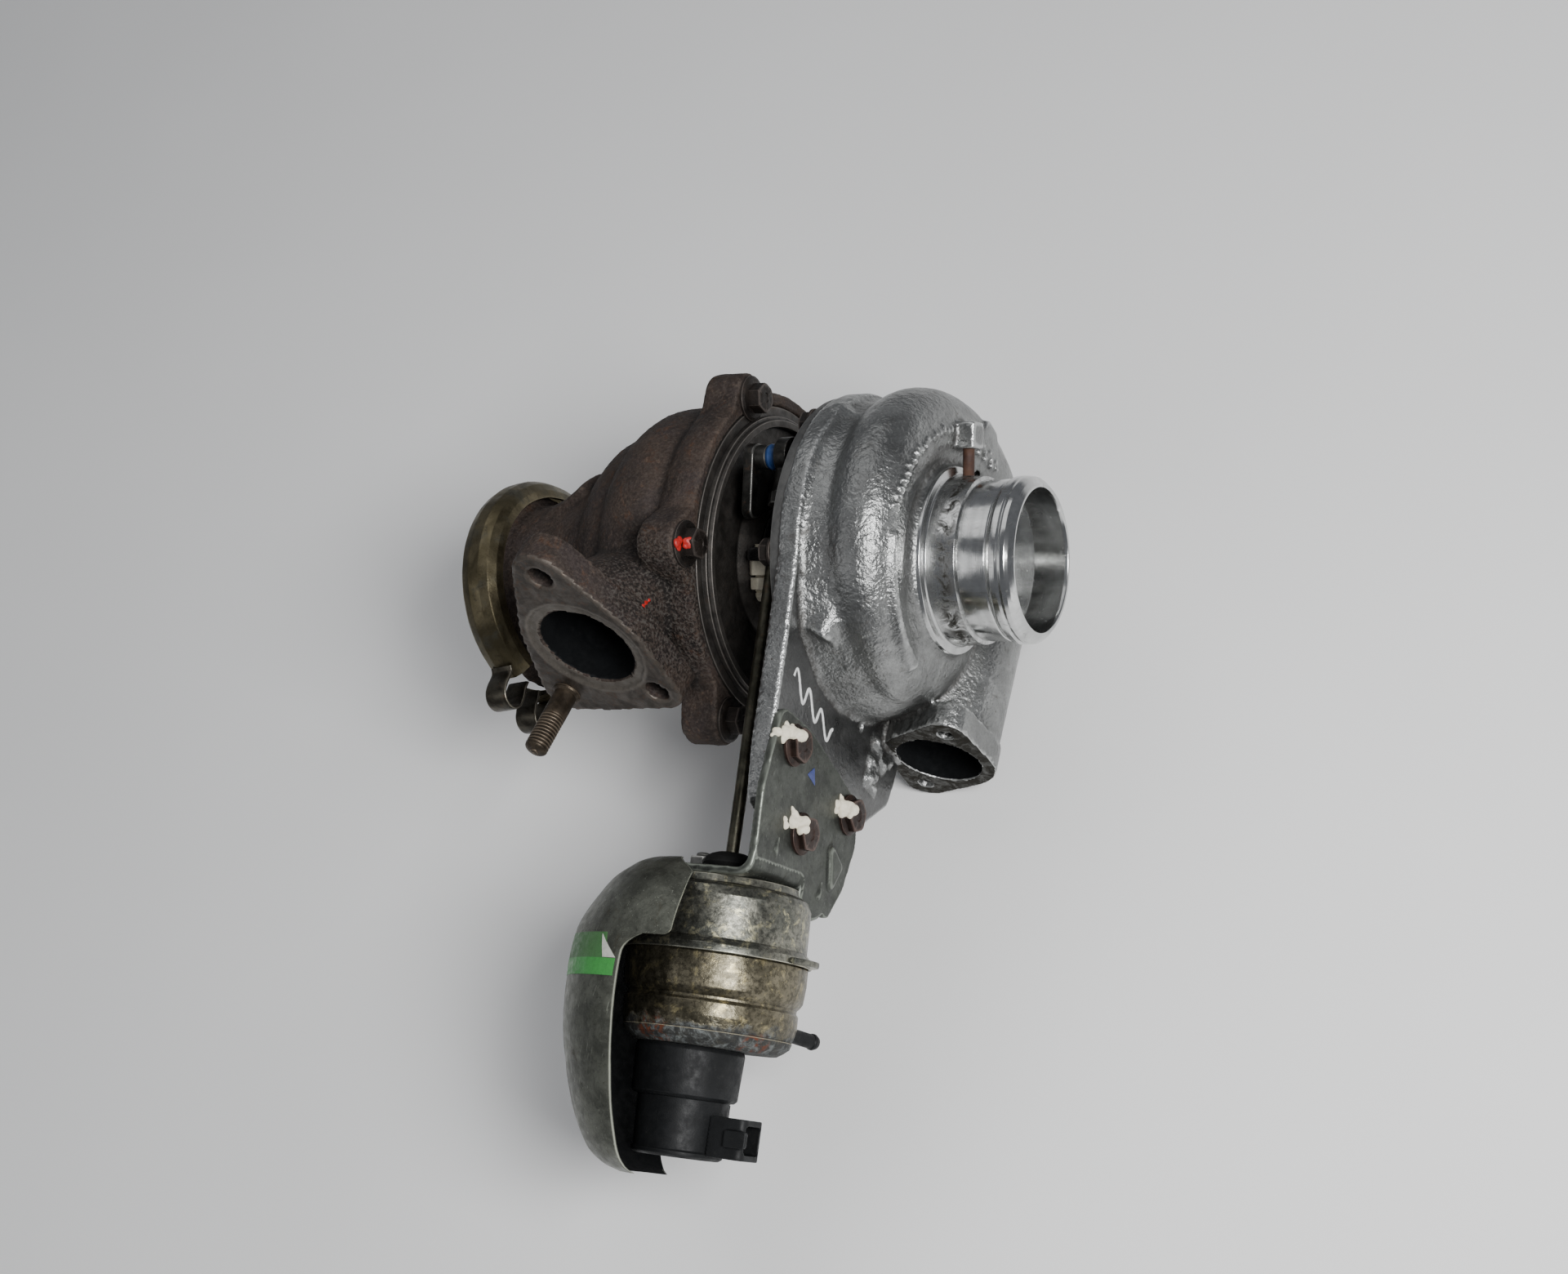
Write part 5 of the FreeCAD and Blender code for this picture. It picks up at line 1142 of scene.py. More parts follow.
turbine_casting()
flanged_bolts("turbine_bolts", [around(TURBINE_FACE, radius, degrees) for degrees, radius in TURBINE_BOLTS],
              X_AXIS, 2.9, 10.4, 9.0, 7.6, 6.0, "bolt")
threaded("exhaust_stud", manifold_point(*MANIFOLD_HOLES[2], 0.5), MANIFOLD_NORMAL, 25.6, 3.93, 1.25, "stud",
         node="manifold_stud", plain=11.0, tip=1.6, depth=0.55)
lathe("exhaust_stud_collar", [(0, 0), (0, 4.9), (0.9, 4.6), (1.5, 3.9), (1.5, 0)], "stud",
      manifold_point(*MANIFOLD_HOLES[2], 0.05), MANIFOLD_NORMAL, node="manifold_stud", fillet=0.4, steps=48)
lathe("exhaust_stud_nub", [(0, 0), (0, 1.5), (0.5, 1.3), (0.8, 0)], "stud",
      manifold_point(*MANIFOLD_HOLES[2], -25.0), MANIFOLD_NORMAL, node="manifold_stud", fillet=0.4, steps=32)


def centre_casting():
    """The bearing housing: a rough middle and a turned flange with steps."""
    mesh = remeshed("bearing_housing", 0.7, ((-91.5, 0, 0), -X_AXIS))
    co, edges = numbers(mesh)
    co = relax(co, edges, 6, 0.5)
    write(mesh, co)
    co += normals_of(mesh) * (field(co, 2.4, 4, 3) * 0.16)[:, None]
    write(mesh, co)
    shade_attributes(mesh, co, edges)
    mesh.materials.append(MATERIALS["centre"])
    place("centre_casting", mesh, node="bearing_housing", angle=0)
    lathe("centre_flange", [(-90.5, 17), (-91.3, 21.6), (-97.2, 27, 1.5), (-97.2, 45.7, 0.8),
                            (-94.1, 45.75, 0.35),
                            (-94.0, 48.0, 0.3), (-95.2, 48.4, 0.25), (-95.3, 49.4, 0.3), (-96.9, 49.6, 0.25),
                            (-96.9, 52.8, 0.3), (-101, 52.8, 0.2), (-101, 49.9, 0.2), (-103.8, 49.9, 0.2),
                            (-103.8, 42.2, 0.2), (-101, 42.2, 0.2), (-101, 12.5, 0.2), (-90.5, 12.5, 0.2)],
          "ring", node="bearing_housing", steps=224)
    lathe("crank_boss", [(-98, 5.0), (-98, 7.0), (-91.2, 7.0), (-90.6, 6.4), (-90.6, 5.0)], "centre",
          (0, CRANK.y, CRANK.z), node="bearing_housing", fillet=0.4, steps=64)


centre_casting()


# ---- outlet clamp -----------------------------------------------------------------------------
def ribbon(name, points, width_dir, width, thickness, material, node=None, body=None):
    """A strap along points, with its width along width_dir and rounded edges."""
    points = [Vector(p) for p in points]
    width_dir = Vector(width_dir).normalized()
    section = []
    for k in range(16):
        a = 2 * math.pi * k / 16
        section.append((math.copysign(abs(math.cos(a)) ** 0.35, math.cos(a)) * width / 2,
                        math.copysign(abs(math.sin(a)) ** 0.7, math.sin(a)) * thickness / 2))
    verts, faces, wear = [], [], []
    for i, p in enumerate(points):
        ahead = points[min(i + 1, len(points) - 1)] - points[max(i - 1, 0)]
        across = ahead.normalized().cross(width_dir).normalized()
        for s, t in section:
            verts.append(p + width_dir * s + across * t)
            wear.append(0.9 if abs(s) > width * 0.47 else 0.0)
    count = len(section)
    for i in range(len(points) - 1):
        for k in range(count):
            m = (k + 1) % count
            faces.append((i * count + k, i * count + m, (i + 1) * count + m, (i + 1) * count + k))
    faces.append(tuple(reversed(range(count))))
    faces.append(tuple(range((len(points) - 1) * count, len(points) * count)))
    return make(name, verts, faces, material, body, node, wear, None, 50)


def spline(points, steps=8):
    """A smooth path through a few points."""
    points = [Vector(p) for p in points]
    ends = [points[0] * 2 - points[1]] + points + [points[-1] * 2 - points[-2]]
    path = []
    for a, b, c, d in zip(ends, ends[1:], ends[2:], ends[3:]):
        for k in range(steps):
            t = k / steps
            path.append(0.5 * ((2 * b) + (c - a) * t + (2 * a - 5 * b + 4 * c - d) * t ** 2
                               + (3 * b - a - 3 * c + d) * t ** 3))
    return path + [points[-1]]


def outlet_clamp():
    n = RING_NORMAL
    side = (Vector((0, 0, 1)) - n * n.z).normalized()
    down = n.cross(side).normalized()
    if down.y > 0:
        down = -down
    profile = [(2.0, 33.4, 0.2), (1.3, 36.2, 1.0), (-0.6, 38.8, 1.6), (-3.6, 40.3, 2.0), (-8.0, 40.5, 2.0),
               (-11.4, 39.4, 1.6),
               (-13.4, 37.2, 1.2), (-14.4, 34.6, 0.2), (-13.4, 34.3, 0.2), (-12.2, 36.6, 1.0),
               (-10.4, 38.4, 1.4),
               (-7.8, 39.2, 1.6), (-3.8, 39.0, 1.6), (-1.3, 37.8, 1.2), (0.3, 35.6, 0.8), (0.8, 33.2, 0.2)]
    half = 11.5
    lathe("clamp_band", profile, "clamp", RING_CENTRE, n, node="outlet_clamp", steps=220, start=half,
          sweep=360 - 2 * half, ripple=0.22, zero=down)
    middle = RING_CENTRE - n * 6
    for sign in (1, -1):
        def at(s, t, centre=middle, sign=sign):
            return centre + side * (s * sign) + down * t
        loop = [at(3.2, 39.0), at(3.6, 41.5), at(3.4, 45.0)]
        for k in range(13):
            a = math.pi + math.pi * k / 12
            loop.append(at(8.5 + 4.9 * math.cos(a), 46.4 - 4.9 * math.sin(a)))
        loop += [at(13.2, 44.0), at(12.4, 40.0), at(13.5, 37.9)]
        ribbon("clamp_eye_%d" % (1 if sign > 0 else 2), spline(loop, 5), n, 9.0, 1.25, "clamp_eye",
               node="outlet_clamp_eyes")


outlet_clamp()


# ---- actuator ---------------------------------------------------------------------------------
# How far the visual shelf and can top lie beyond the CAD ones along the rod, in millimetres.
DROP = 3.4


def sheet_part(name, node, voxel, passes, planes, material, dents=0.0, angle=0, extra=(), bend=None):
    """A pressed or cut part: the CAD solid with melted edges and true flat faces."""
    mesh = remeshed(node, voxel, None, extra)
    co, edges = numbers(mesh)
    co = relax(co, edges, passes, 0.5)
    for point, normal in planes:
        snap_plane(co, point, normal, voxel * 0.35)
    if bend is not None:
        co = bend(co)
    write(mesh, co)
    shade_attributes(mesh, co, edges, 5, 0.1)
    if dents:
        co += normals_of(mesh) * (field(co, 9, 2, 2) * dents)[:, None]
        write(mesh, co)
    mesh.materials.append(MATERIALS[material])
    return place(name, mesh, node=node, angle=angle)


def lower_shelf(co):
    """Moves the bracket's shelf down to the can, and leaves its far corner where it is."""
    rel = co - np.array(SHELF)
    along = rel @ np.array(ROD_DIR)
    side = rel @ np.array(ROD_SIDE)
    share = np.clip((along + 12) / 10, 0, 1) * np.clip((side + 28) / 9, 0, 1)
    share = share * share * (3 - 2 * share)
    return co + np.array(ROD_DIR) * (DROP * share)[:, None]


def bracket():
    x = BRACKET_OUT
    darts = [wedge([(x - 1.5, -100.0, 17.0), (x - 1.5, -113.5, 23.5), (x - 1.5, -114.5, 14.5),
                    (x + 1.1, -112.5, 19.0)]),
             wedge([(x - 1.5, -99.0, -14.5), (x - 1.5, -113.0, -9.5), (x - 1.5, -116.5, -17.5),
                    (x + 1.3, -112.5, -13.5)])]
    corner = [(2.0, -11.0), (7.0, -16.5), (8.2, -21.5), (9.2, -25.5), (7.8, -29.5), (3.5, -33.0),
              (-4.0, -29.0), (-4.0, -12.0)]
    darts.append(wedge([SHELF + ROD_DIR * along + ROD_SIDE * side + X_AXIS * (face - SHELF.x)
                        for along, side in corner for face in (WEB_FRONT + 0.1, x - 0.1)]))
    sheet_part("bracket_sheet", "actuator_bracket", 0.5, 7,
               [((x, 0, 0), X_AXIS), ((WEB_FRONT, 0, 0), X_AXIS)], "bracket",
               0.12, 0, darts, lower_shelf)


bracket()
BRACKET_BOLTS = [Vector((BRACKET_OUT, -81.0, 24.5)), Vector((BRACKET_OUT, -102.5, 6.5)),
                 Vector((BRACKET_OUT, -83.5, -20.0))]
flanged_bolts("bracket_bolts", BRACKET_BOLTS, X_AXIS, 2.9, 8.9, 10.0, 6.6, 4.0, "bracket_bolt")
CAN_STUDS = [(-15.0, -8.5), (3.5, -16.0)]
NUT_SEATS = [-3.85, -2.5]
for index, ((stud_x, stud_side), seat) in enumerate(zip(CAN_STUDS, NUT_SEATS)):
    hex_head("can_nut_%d" % (index + 1), on_axis(seat + DROP, stud_x, stud_side), -ROD_DIR, 8.0, 4.5,
             "plated_nut",
             node="actuator_nuts", spin=0.3 + index)
    threaded("can_stud_%d" % (index + 1), on_axis(0.4 + DROP, stud_x, stud_side), -ROD_DIR, 6.4 - seat,
             2.45, 0.8, "plated_nut",
             node="actuator_upper_can")


def can_piece(name, profile, material, node, fillet=0.5, steps=224, shift=0.0, ripple=0.0):
    return lathe(name, profile, material, on_axis(0, shift), ROD_DIR, None, node, fillet, steps,
                 ripple=ripple)


can_piece("can_top", [(DROP, 7.5, 0.3), (DROP, 21.9, 0.5), (5.9, 22.5, 0.5), (6.2, 24.2, 0.5),
                      (7.0, 25.3, 0.8), (9.6, 26.6, 1.2),
                      (SEAM - 3.2, 27.0, 1.0), (SEAM - 1.5, 28.7, 0.6), (SEAM + 0.9, 29.0, 0.5),
                      (SEAM + 0.9, 28.1, 0.2),
                      (SEAM, 27.6, 0.2), (SEAM, 25.8, 0.2), (10.2, 25.5, 0.5), (7.8, 22.8, 0.5),
                      (4.6, 20.8, 0.5), (4.6, 7.5, 0.3)],
          "upper_can", "actuator_upper_can", ripple=0.1)
can_piece("can_bottom", [(SEAM + 0.2, 25.0, 0.1), (SEAM + 0.2, 27.3, 0.3), (SEAM + 1.4, 27.9, 0.5),
                         (SEAM + 6, 28.05, 3.0),
                         (SEAM + 11.4, 27.6, 2.0), (SEAM + 12.6, 26.9, 0.8), (SEAM + 13.6, 26.0, 0.7),
                         (SEAM + 14.6, 26.0, 0.6),
                         (SEAM + 15.4, 26.7, 0.7), (SEAM + 19.5, 26.8, 2.5), (SEAM + 22.6, 26.0, 0.8),
                         (SEAM + 23.4, 25.6, 0.4),
                         (SEAM + 23.6, 25.9, 0.3), (SEAM + 25.4, 25.3, 0.5), (LOWER_END - 1.2, 23.6, 0.8),
                         (LOWER_END, 21.8, 0.6), (LOWER_END, 6.0, 0.2), (LOWER_END - 1.2, 6.0, 0.2),
                         (LOWER_END - 1.2, 20.6, 0.5), (LOWER_END - 3.9, 22.3, 0.5), (SEAM + 22.4, 24.4, 0.5),
                         (SEAM + 16.6, 25.2, 0.5), (SEAM + 14.4, 24.8, 0.5), (SEAM + 11.6, 26.2, 0.5),
                         (SEAM + 2, 26.6, 0.5),
                         (SEAM + 1.2, 25.0, 0.2)],
          "lower_can", "actuator_lower_can", ripple=0.12)
ribbon("can_tab", spline([on_axis(SEAM - 0.2, 27.2, -9.5), on_axis(SEAM - 0.2, 30.6, -4.5),
                          on_axis(SEAM - 0.2, 30.8, 0.5),
                          on_axis(SEAM - 0.2, 28.2, 5.5)], 6), ROD_DIR, 2.0, 3.6, "upper_can",
       "actuator_upper_can")
can_piece("piston", [(9.0, 2.1), (9.0, 19.0), (17.0, 19.0), (17.0, 18.0), (10.0, 18.0), (10.0, 2.1)], "steel",
          "piston_plate", 0.4, 128)
SENSOR_SHIFT = -5.0
can_piece("sensor_body", [(LOWER_END, 5.5, 0.2), (LOWER_END, 16.4, 0.8), (LOWER_END + 1.4, 16.8, 0.5),
                          (LOWER_END + 14.6, 16.2, 0.5),
                          (LOWER_END + 15.5, 15.2, 0.4), (LOWER_END + 15.6, 14.1, 0.3),
                          (LOWER_END + 30.6, 13.5, 0.5),
                          (LOWER_END + 31.2, 14.0, 0.3), (LOWER_END + 32.2, 13.9, 0.5),
                          (LOWER_END + 33.0, 12.6, 0.5),
                          (LOWER_END + 32.4, 11.6, 0.3), (LOWER_END + 32.4, 0.0, 0), (LOWER_END + 29, 0.0, 0),
                          (LOWER_END + 29, 5.5, 0.3)],
          "plastic", "sensor_housing", shift=SENSOR_SHIFT)
for index in range(5):
    offset = math.radians(200 + 28 * index)
    rib_foot = on_axis(LOWER_END + 15.9, SENSOR_SHIFT + 14.2 * math.cos(offset), 14.2 * math.sin(offset))
    tube("sensor_rib_%d" % (index + 1), [rib_foot, rib_foot + ROD_DIR * 5.0, rib_foot + ROD_DIR * 9.5],
         [0.9, 0.8, 0.15],
         "plastic", node="sensor_housing", sides=12)
sheet_part("sensor_plug_socket", "sensor_socket", 0.3, 3, [], "plastic")
can_piece("boot", [(along + DROP, radius, fillet) for along, radius, fillet in
                   ((-2.5, 2.3, 0.2), (-2.5, 6.7, 0.3), (-4.1, 7.9, 0.7), (-5.6, 8.6, 0.9), (-7.1, 8.1, 0.8),
                    (-8.3, 6.4, 0.6), (-9.0, 4.4, 0.4), (-9.2, 2.3, 0.2))], "rubber", "rod_boot", 0.4, 72)
can_piece("push_rod", [(-129.9, 0.0, 0), (-129.9, 2.0, 0.3), (-114, 2.0, 0.2), (-113.5, 2.1, 0.1),
                       (25.0, 2.1, 0.4), (25.0, 0.0, 0)],
          "rod", "actuator_rod", 0.3, 40)
sheet_part("rod_eye_forging", "rod_eye", 0.3, 3, [], "linkage", 0.05)
sheet_part("crank_plate", "crank_arm", 0.35, 2, [((-90.0, 0, 0), X_AXIS), ((-86.5, 0, 0), X_AXIS)],
           "linkage", 0.04)
EYE_LIFT = CRANK_ARM * math.cos(HALF_SWING) - ROD_OFFSET
PIN = REST_EYE + ROD_SIDE * EYE_LIFT
lathe("pin_body", [(-90.6, 0, 0), (-90.6, 2.5), (-86.6, 2.5), (-86.5, 4.0), (-82.6, 4.0), (-82.5, 2.5),
                   (-73.4, 2.5),
                   (-72.6, 1.8), (-72.6, 0, 0)], "linkage", (0, PIN.y, PIN.z), node="lever_pin",
      fillet=0.35, steps=56)
lathe("pin_cap", [(-82.4, 2.55), (-82.4, 4.0), (-81.4, 4.35), (-80.9, 4.1), (-79.6, 4.1), (-78.8, 3.7),
                  (-78.6, 2.55)], "blue",
      (0, PIN.y, PIN.z), node="pin_clip", fillet=0.35, steps=56)
hex_head("rod_nut", on_axis(-122.4), ROD_DIR, 8.0, 4.0, "linkage", node="rod_lock_nut", spin=0.5)


def return_spring():
    turns, low, high, wire = 5.5, 10.3, 52.5, 1.05
    path = []
    for i in range(320):
        t = i / 319
        a = 2 * math.pi * turns * t
        flat = min(1.0, max(0.0, (t - 0.08) / 0.84))
        path.append(on_axis(low + wire + (high - low - 2 * wire) * flat, 16.0 * math.cos(a),
                            16.0 * math.sin(a)))
    coil = tube("return_spring", path, wire, "steel", "housing", "actuator_spring", 14)
    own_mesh(coil)


return_spring()
def hose_nipple():
    direction = (X_AXIS * 0.35 - ROD_SIDE * 0.93 + ROD_DIR * 0.1).normalized()
    root = on_axis(SEAM + 20.0, 16.0, -17.0)
    lathe("hose_nipple_tube", [(1.5, 1.2), (1.5, 3.4), (3.5, 3.4), (3.6, 2.3), (12.6, 2.3), (12.8, 2.55),
                               (13.6, 2.6), (15.0, 2.0),
                               (15.0, 1.2)], "plastic", root, direction, node="vacuum_nipple", fillet=0.25,
          steps=48)


hose_nipple()

# ---- stop screw, under its marking paint ---------------------------------------------------------
STOP_ANGLE = math.radians(32.7)
STOP_DIR = Vector((0, math.cos(STOP_ANGLE), math.sin(STOP_ANGLE)))
STOP_LINE = Vector((-88.0, 0, 0)) + Vector((0, -math.sin(STOP_ANGLE), math.cos(STOP_ANGLE))) * 25.5
threaded("stop_screw_shank", STOP_LINE + STOP_DIR * 6.4, -STOP_DIR, 18.8, 2.45, 0.9, "cream", "stop_screw",
         tip=2.6)
hex_head("stop_screw_head", STOP_LINE - STOP_DIR * 4.6, -STOP_DIR, 7.0, 3.9, "cream", node="stop_screw",
         spin=0.2)
hex_head("stop_nut", STOP_LINE + STOP_DIR * 1.0, -STOP_DIR, 8.0, 4.8, "cream", node="stop_screw_nut",
         spin=0.6)

# ---- heat shield -----------------------------------------------------------------------------------
SHIELD_T = 1.2
FOOT_LEVEL = -3.8 + DROP
SHIELD_EDGE = -8.0
SHIELD_PROFILE = [(FOOT_LEVEL, 24.5), (0.6, 27.2), (2.8, 30.4), (8.0, 35.8), (19.0, 42.0), (29.0, 44.3),
                  (45.0, 44.6),
                  (59.0, 42.2), (74.0, 38.0), (86.0, 32.0), (91.0, 26.5), (93.0, 21.0)]


def shield_line(steps=10):
    return [(p.x, p.y) for p in spline([(a, r, 0) for a, r in SHIELD_PROFILE], steps)]


def shield_radius(along):
    line = shield_line()
    return float(np.interp(along, [a for a, r in line], [r for a, r in line]))


def shield_point(along, degrees, lift=0.0):
    """A point on the shield's outer side, with its dents."""
    a = math.radians(degrees)
    radius = shield_radius(along)
    dent = (0.55 * noise.noise(Vector((along / 17, degrees / 24, 3)))
            + 0.12 * noise.noise(Vector((along / 5, degrees / 7, 8))))
    r = radius + dent + lift
    return on_axis(along, r * math.cos(a), r * math.sin(a))


def shield_start(along):
    """The angle of the shield's front edge: it steps back below the seam."""
    step = SEAM - 1.0
    low = math.degrees(math.acos(SHIELD_EDGE / shield_radius(max(along, step))))
    if along <= step - 2.2:
        return 80.0 + 18.0 * max(0.0, (5.0 - along) / 5.4) ** 1.3
    if along <= step:
        return 80.0 + 2.0 * ((along - step + 2.2) / 2.2) ** 3 * 1.5
    blend = min(1.0, (along - step) / 7.0)
    return low - 9.0 * (1 - blend) ** 2.5


def heat_shield():
    levels = [along for along, _ in shield_line(9)]
    levels = sorted(set(levels + [SEAM - 1.0 + d for d in (-2.2, -1.4, -0.7, -0.2, 0.0, 0.15, 0.5, 1.0, 1.8,
                                                           3.0, 4.5)]))
    columns = 84
    outer, inner = [], []
    for along in levels:
        start = shield_start(along)
        for c in range(columns):
            degrees = start + (222.0 - start) * c / (columns - 1)
            outer.append(shield_point(along, degrees))
            inner.append(shield_point(along, degrees, -SHIELD_T))
    rows = len(levels)
    verts = outer + inner
    shift = len(outer)
    faces = []
    for i in range(rows - 1):
        for c in range(columns - 1):
            a, b = i * columns + c, (i + 1) * columns + c
            faces.append((a, a + 1, b + 1, b))
            faces.append((a + shift, b + shift, b + 1 + shift, a + 1 + shift))
    border = [c for c in range(columns)] + [i * columns + columns - 1 for i in range(1, rows)]
    border += [(rows - 1) * columns + c for c in range(columns - 2, -1,
                                                       -1)] + [i * columns for i in range(rows - 2, 0, -1)]
    middle = {}
    wear = [0.0] * len(verts)
    for b in border:
        middle[b] = len(verts)
        verts.append((verts[b] + verts[b + shift]) / 2)
        wear.append(1.0)
    for a, b in zip(border, border[1:] + border[:1]):
        faces.append((b, a, middle[a], middle[b]))
        faces.append((middle[b], middle[a], a + shift, b + shift))
    sheet = make("shield_sheet", verts, faces, "shield", None, "heat_shield", wear, None, 60, ("painted_shade_and_soot",))
    co, _ = numbers(sheet.data)
    # The shield's inner side takes the near-black material: painted shade in the gap between the shield and
    # the can.
    face_material(sheet.data, faces_axis(co, normals_of(sheet.data), SHELF, ROD_DIR, 60.0), 1)
    lathe("shield_foot", [(FOOT_LEVEL, 10.0), (FOOT_LEVEL, 25.6), (FOOT_LEVEL + SHIELD_T, 25.6),
                          (FOOT_LEVEL + SHIELD_T, 10.0)],
          "shield", on_axis(0), ROD_DIR, None, "heat_shield", 0.3, 60, start=165, sweep=57, zero=X_AXIS)


def shield_patch(name, low, high, start, end, material, lift, lean=0.0, upper=1.0):
    """A label that follows the shield.

    lean shifts its upper end along the turn, in degrees; upper is that end's share of the width."""
    rows, columns = 10, 26
    verts, faces = [], []
    for layer in (lift, 0.0):
        for i in range(rows + 1):
            t = i / rows
            for c in range(columns + 1):
                degrees = end - (end - start) * (1 - c / columns) * (upper + (1 - upper) * t) + lean * (1 - t)
                along = low + (high - low) * t + 0.25 * math.sin(degrees * 0.35 + t
                                                                 * 3) * (0.5 - abs(t - 0.5))
                verts.append(shield_point(along, degrees, layer))
    width = columns + 1
    shift = (rows + 1) * width
    for i in range(rows):
        for c in range(columns):
            a, b = i * width + c, (i + 1) * width + c
            faces.append((a, a + 1, b + 1, b))
    border = [c for c in range(width)] + [i * width + columns for i in range(1, rows + 1)]
    border += [rows * width + c for c in range(columns - 1, -1, -1)] + [i * width for i in range(rows - 1,
                                                                                                 0, -1)]
    for a, b in zip(border, border[1:] + border[:1]):
        faces.append((b, a, a + shift, b + shift))
    return make(name, verts, faces, material, "housing", None, None, None, 40)


heat_shield()
shield_patch("label_field", 25.6, 33.6, 106, 152, "label_field", 0.14, 3)
shield_patch("label_band", 33.2, 38.2, 101.5, 152, "label_band", 0.17)
shield_patch("label_corner", 26.2, 33.0, 101.5, 108.5, "label_pale", 0.2, 3, 0.05)


# ---- paint -------------------------------------------------------------------------------------------
def dab(name, centre, normal, points, material, voxel=0.3, body="housing", rough=0.16):
    """Thick paint: blobs as (sideways, up, rise, radius), flattened on a surface and melted together."""
    axis = Vector(normal).normalized()
    up = (Vector((0, 0.87, 0.5)) - axis * axis.dot(Vector((0, 0.87, 0.5)))).normalized()
    side = up.cross(axis).normalized()
    bm = bmesh.new()
    for s, t, rise, radius in points:
        place_at = Vector(centre) + side * s + up * t + axis * rise
        matrix = Matrix.Translation(place_at * MM) @ Matrix((side, up, axis)).transposed().to_4x4()
        matrix = matrix @ Matrix.Diagonal((radius * MM, radius * MM, max(radius * 0.55, 0.7) * MM, 1))
        bmesh.ops.create_icosphere(bm, subdivisions=3, radius=1.0, matrix=matrix)
    mesh = bpy.data.meshes.new(name)
    bm.to_mesh(mesh)
    bm.free()
    source = bpy.data.objects.new("temporary", mesh)
    bpy.context.scene.collection.objects.link(source)
    modifier = source.modifiers.new("remesh", "REMESH")
    modifier.mode = "VOXEL"
    modifier.voxel_size = voxel * MM
    result = bpy.data.meshes.new_from_object(source.evaluated_get(bpy.context.evaluated_depsgraph_get()))
    bpy.data.objects.remove(source)
    result.materials.clear()
    co, edges = numbers(result)
    co = relax(co, edges, 3)
    write(result, co)
    co += normals_of(result) * (field(co, 1.5, 3, 2) * rough)[:, None]
    write(result, co)
    result.materials.append(MATERIALS[material])
    return place(name, result, body, None, 0)


# The cream paint on each bracket bolt, as (sideways, up, radius) seen from the side it was brushed from.
BRUSH = Vector((0.476, -0.431, 0.767))
BOLT_PAINT = [
    [(-5.8, 5.0, 1.0), (-6.7, 3.5, 0.7), (-4.8, 4.4, 1.5), (-3.1, 4.0, 2.5), (-2.5, 6.3, 1.3),
     (-2.3, 7.3, 0.6),
     (-3.5, 1.8, 1.2), (-0.8, 4.0, 2.3), (-0.6, 6.0, 0.9), (1.0, 3.3, 2.2), (2.3, 3.1, 2.1)],
    [(-2.9, 4.0, 2.1), (-4.8, 3.3, 1.4), (-5.0, 5.4, 1.0), (0.0, 3.3, 2.6), (1.3, 4.2, 1.8), (1.5, 1.9, 1.5),
     (0.0, 1.5, 1.4), (-2.3, 6.2, 1.8), (-2.6, 7.7, 1.0), (-2.7, 8.6, 0.55)],
    [(-3.8, 4.2, 1.5), (-4.2, 2.1, 1.3), (-2.1, 3.3, 2.3), (-2.1, 1.0, 1.5), (0.0, 2.5, 2.6), (1.5, 2.1, 2.0),
     (0.4, 0.2, 1.0), (-2.5, 5.6, 1.1), (-2.6, 6.8, 0.55)],
]


def brushed(centre, spots):
    """Where each spot of paint lands on the bolt or the bracket, in the form that dab() takes."""
    graph = bpy.context.evaluated_depsgraph_get()
    up = (Vector((0, 0.87, 0.5)) - BRUSH * BRUSH.dot(Vector((0, 0.87, 0.5)))).normalized()
    side = up.cross(BRUSH).normalized()
    landed = []
    for s, t, radius in spots:
        start = Vector(centre) + side * s + up * t + BRUSH * 40
        hit, where, *_ = bpy.context.scene.ray_cast(graph, start * MM, -BRUSH, distance=0.06)
        depth = (where / MM - start).dot(BRUSH) + 40 if hit else 0.0
        landed.append((s, t, depth + 0.1, radius))
    return landed


for index, (head, spots) in enumerate(zip(BRACKET_BOLTS, BOLT_PAINT)):
    dab("bolt_paint_%d" % (index + 1), head, BRUSH, brushed(head, spots), "cream")
dab("stop_paint", STOP_LINE - STOP_DIR * 0.2 + X_AXIS * 3.6, (0.9, -0.3, 0.3),
    [(0, -5, 0, 1.5), (0.3, -2.5, 0, 2.4), (-0.6, 0, 0, 2.8), (0.8, 1.2, 0, 2.4), (-0.2, 3.2, 0, 2.6),
     (0.9, 5.4, 0, 2.0),
     (-1.5, 6.0, 0, 1.4)], "cream", rough=0.25)
red_bolt = around(TURBINE_FACE, TURBINE_BOLTS[1][1], TURBINE_BOLTS[1][0])
dab("red_bolt_paint", red_bolt + Vector((4.2, -2.3, 4.1)), (0.5, -0.55, 0.65),
    [(-0.6, 0.5, -0.3, 1.3), (0.6, 0.8, -0.3, 1.2), (0.4, -0.6, -0.3, 1.3), (-0.9, -0.9, -0.4, 1.1)], "red",
    0.22)
dab("red_washer_paint", red_bolt + Vector((1.7, -3.4, 5.8)), X_AXIS,
    [(-0.6, 0, 0, 1.7), (0.7, 0.9, 0, 1.5), (0.4, -1.3, 0, 1.3)],
    "red", 0.25)
dab("red_smear", Vector((-107.4, -46.4, 50.3)), (0.92, 0.03, 0.38),
    [(-2.4, -1.6, -0.3, 0.9), (-1.0, -0.6, -0.3, 1.1), (0.4, 0.6, -0.3, 1.1), (1.8, 1.4, -0.3, 0.8)], "red",
    0.22)
rod_dot = on_axis(-98.0) + X_AXIS * 1.9
dab("red_rod_paint", rod_dot, (0.9, -0.2, 0.4),
    [(0, 0, -0.2, 1.2), (0.3, 1.2, -0.3, 0.9), (-0.2, -1.3, -0.3, 0.9)], "red", 0.2,
    "rod")


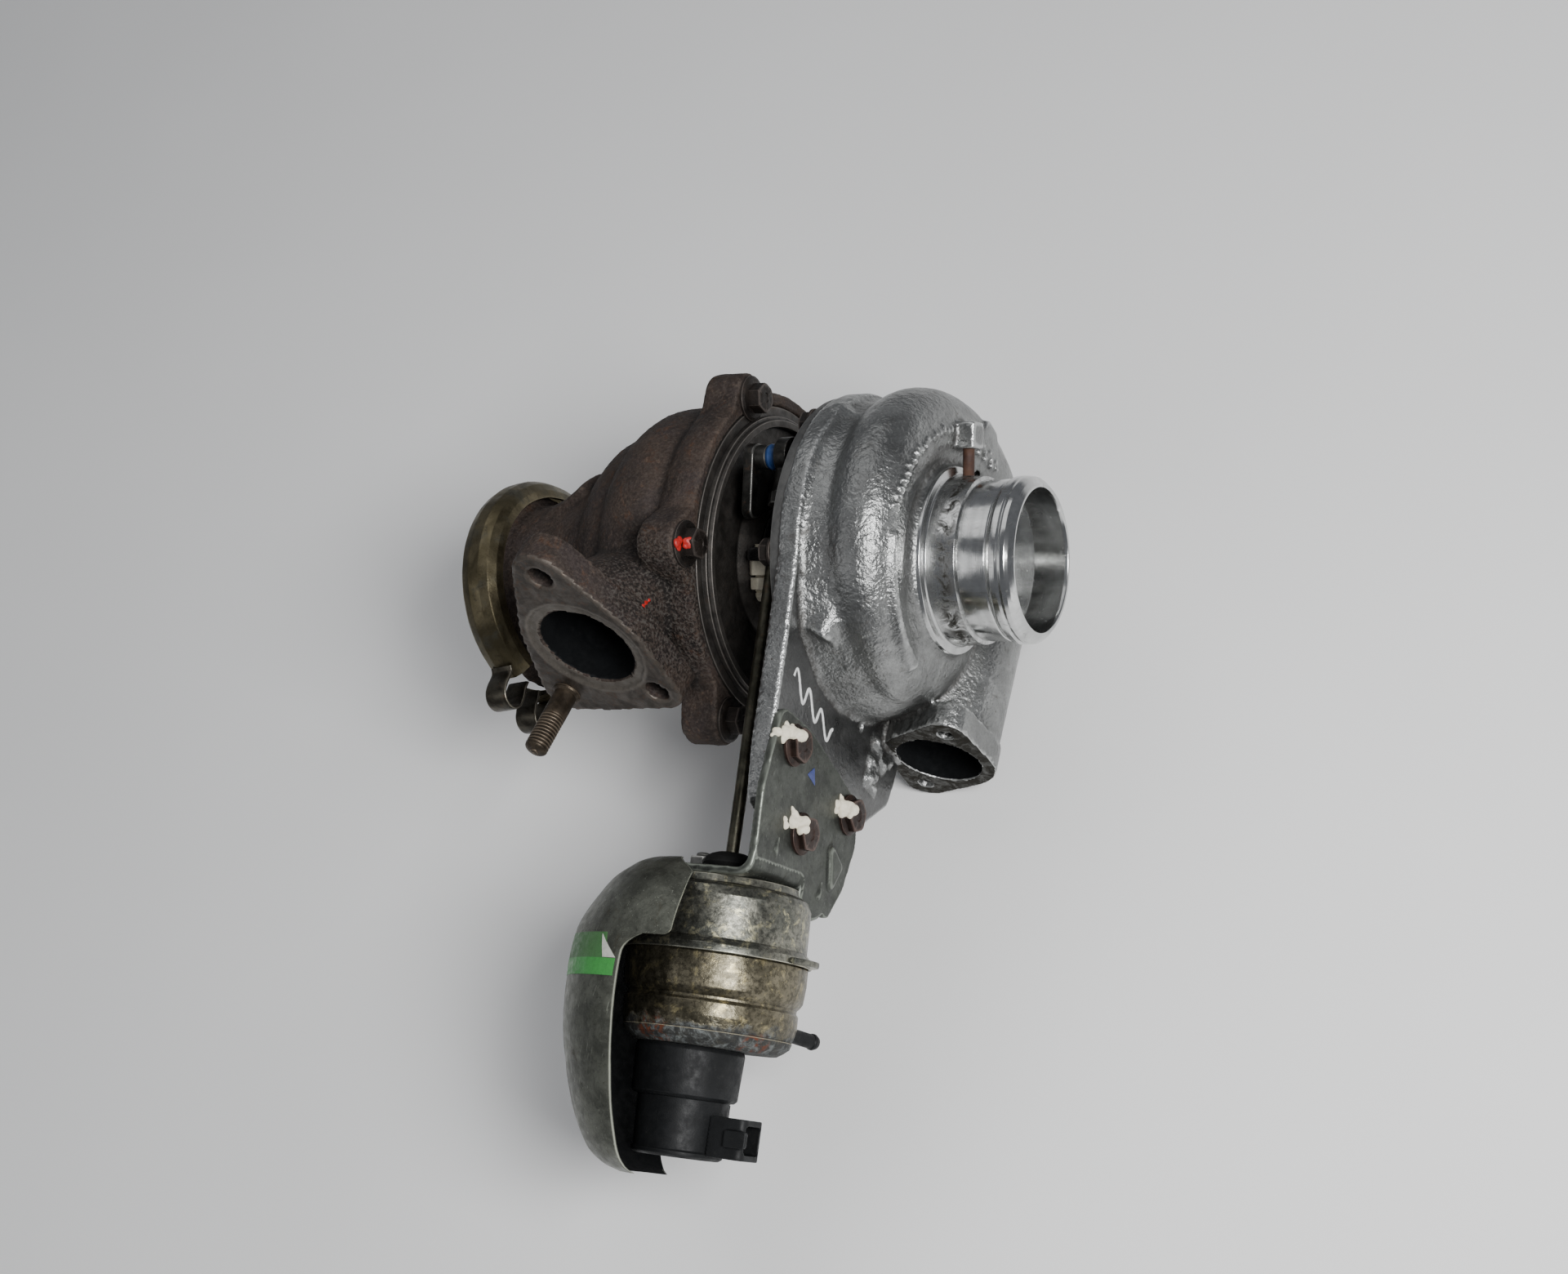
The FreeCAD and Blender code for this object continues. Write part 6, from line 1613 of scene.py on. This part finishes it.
def flat_mark(name, outline, material, rise=0.12):
    """A thin mark on a face that looks along X, from (y, z) corners given in order."""
    x = rise
    verts = [Vector((p[0], p[1], p[2])) for p in outline]
    count = len(verts)
    middle = sum(verts, Vector()) / count
    rings = []
    for scale, lift in ((1.0, -0.2), (0.99, x * 0.7), (0.9, x), (0.5, x)):
        rings += [middle + (v - middle) * scale + X_AXIS * lift for v in verts]
    rings.append(middle + X_AXIS * x)
    faces = []
    for layer in range(3):
        for k in range(count):
            m = (k + 1) % count
            a, b = layer * count, (layer + 1) * count
            faces.append((a + k, a + m, b + m, b + k))
    for k in range(count):
        faces.append((3 * count + k, 3 * count + (k + 1) % count, 4 * count))
    return make(name, rings, faces, material, "housing", None, None, None, 0)


def triangle_mark():
    corners = [Vector((BRACKET_OUT, -80.8, 8.6)), Vector((BRACKET_OUT, -84.6, 11.8)),
               Vector((BRACKET_OUT, -85.6, 5.6))]
    outline = []
    for a, b in zip(corners, corners[1:] + corners[:1]):
        for k in range(7):
            p = a.lerp(b, k / 7)
            outline.append(p + Vector((0, 0.25 * noise.noise(p * 1.1), 0.25 * noise.noise(p * 1.3))))
    flat_mark("blue_triangle", outline, "marker", 0.16)


def brush_stroke():
    """A plain hand-drawn wave of white paint on the housing's flat web."""
    path = []
    for i in range(90):
        t = i / 89
        wave = math.sin(t * 6.5 * math.pi) * (3.8 - 0.8 * t)
        path.append(Vector((WEB_FRONT + 0.02, -60.5 - 5.0 * t + wave * 0.92, 31.0 - 33.0 * t + wave * 0.4)))
    verts, faces = [], []
    for i, p in enumerate(path):
        ahead = (path[min(i + 1, 89)] - path[max(i - 1, 0)]).normalized()
        across = ahead.cross(X_AXIS)
        half = 0.62 + 0.25 * noise.noise(p * 0.5)
        for s, rise in ((-1, -0.1), (-0.9, 0.1), (0, 0.15), (0.9, 0.1), (1, -0.1)):
            verts.append(p + across * (half * s) + X_AXIS * rise)
    for i in range(89):
        for k in range(4):
            a, b = i * 5 + k, (i + 1) * 5 + k
            faces.append((a, a + 1, b + 1, b))
    make("paint_stroke", verts, faces, "white", "housing", None, None, None, 0)


triangle_mark()
brush_stroke()
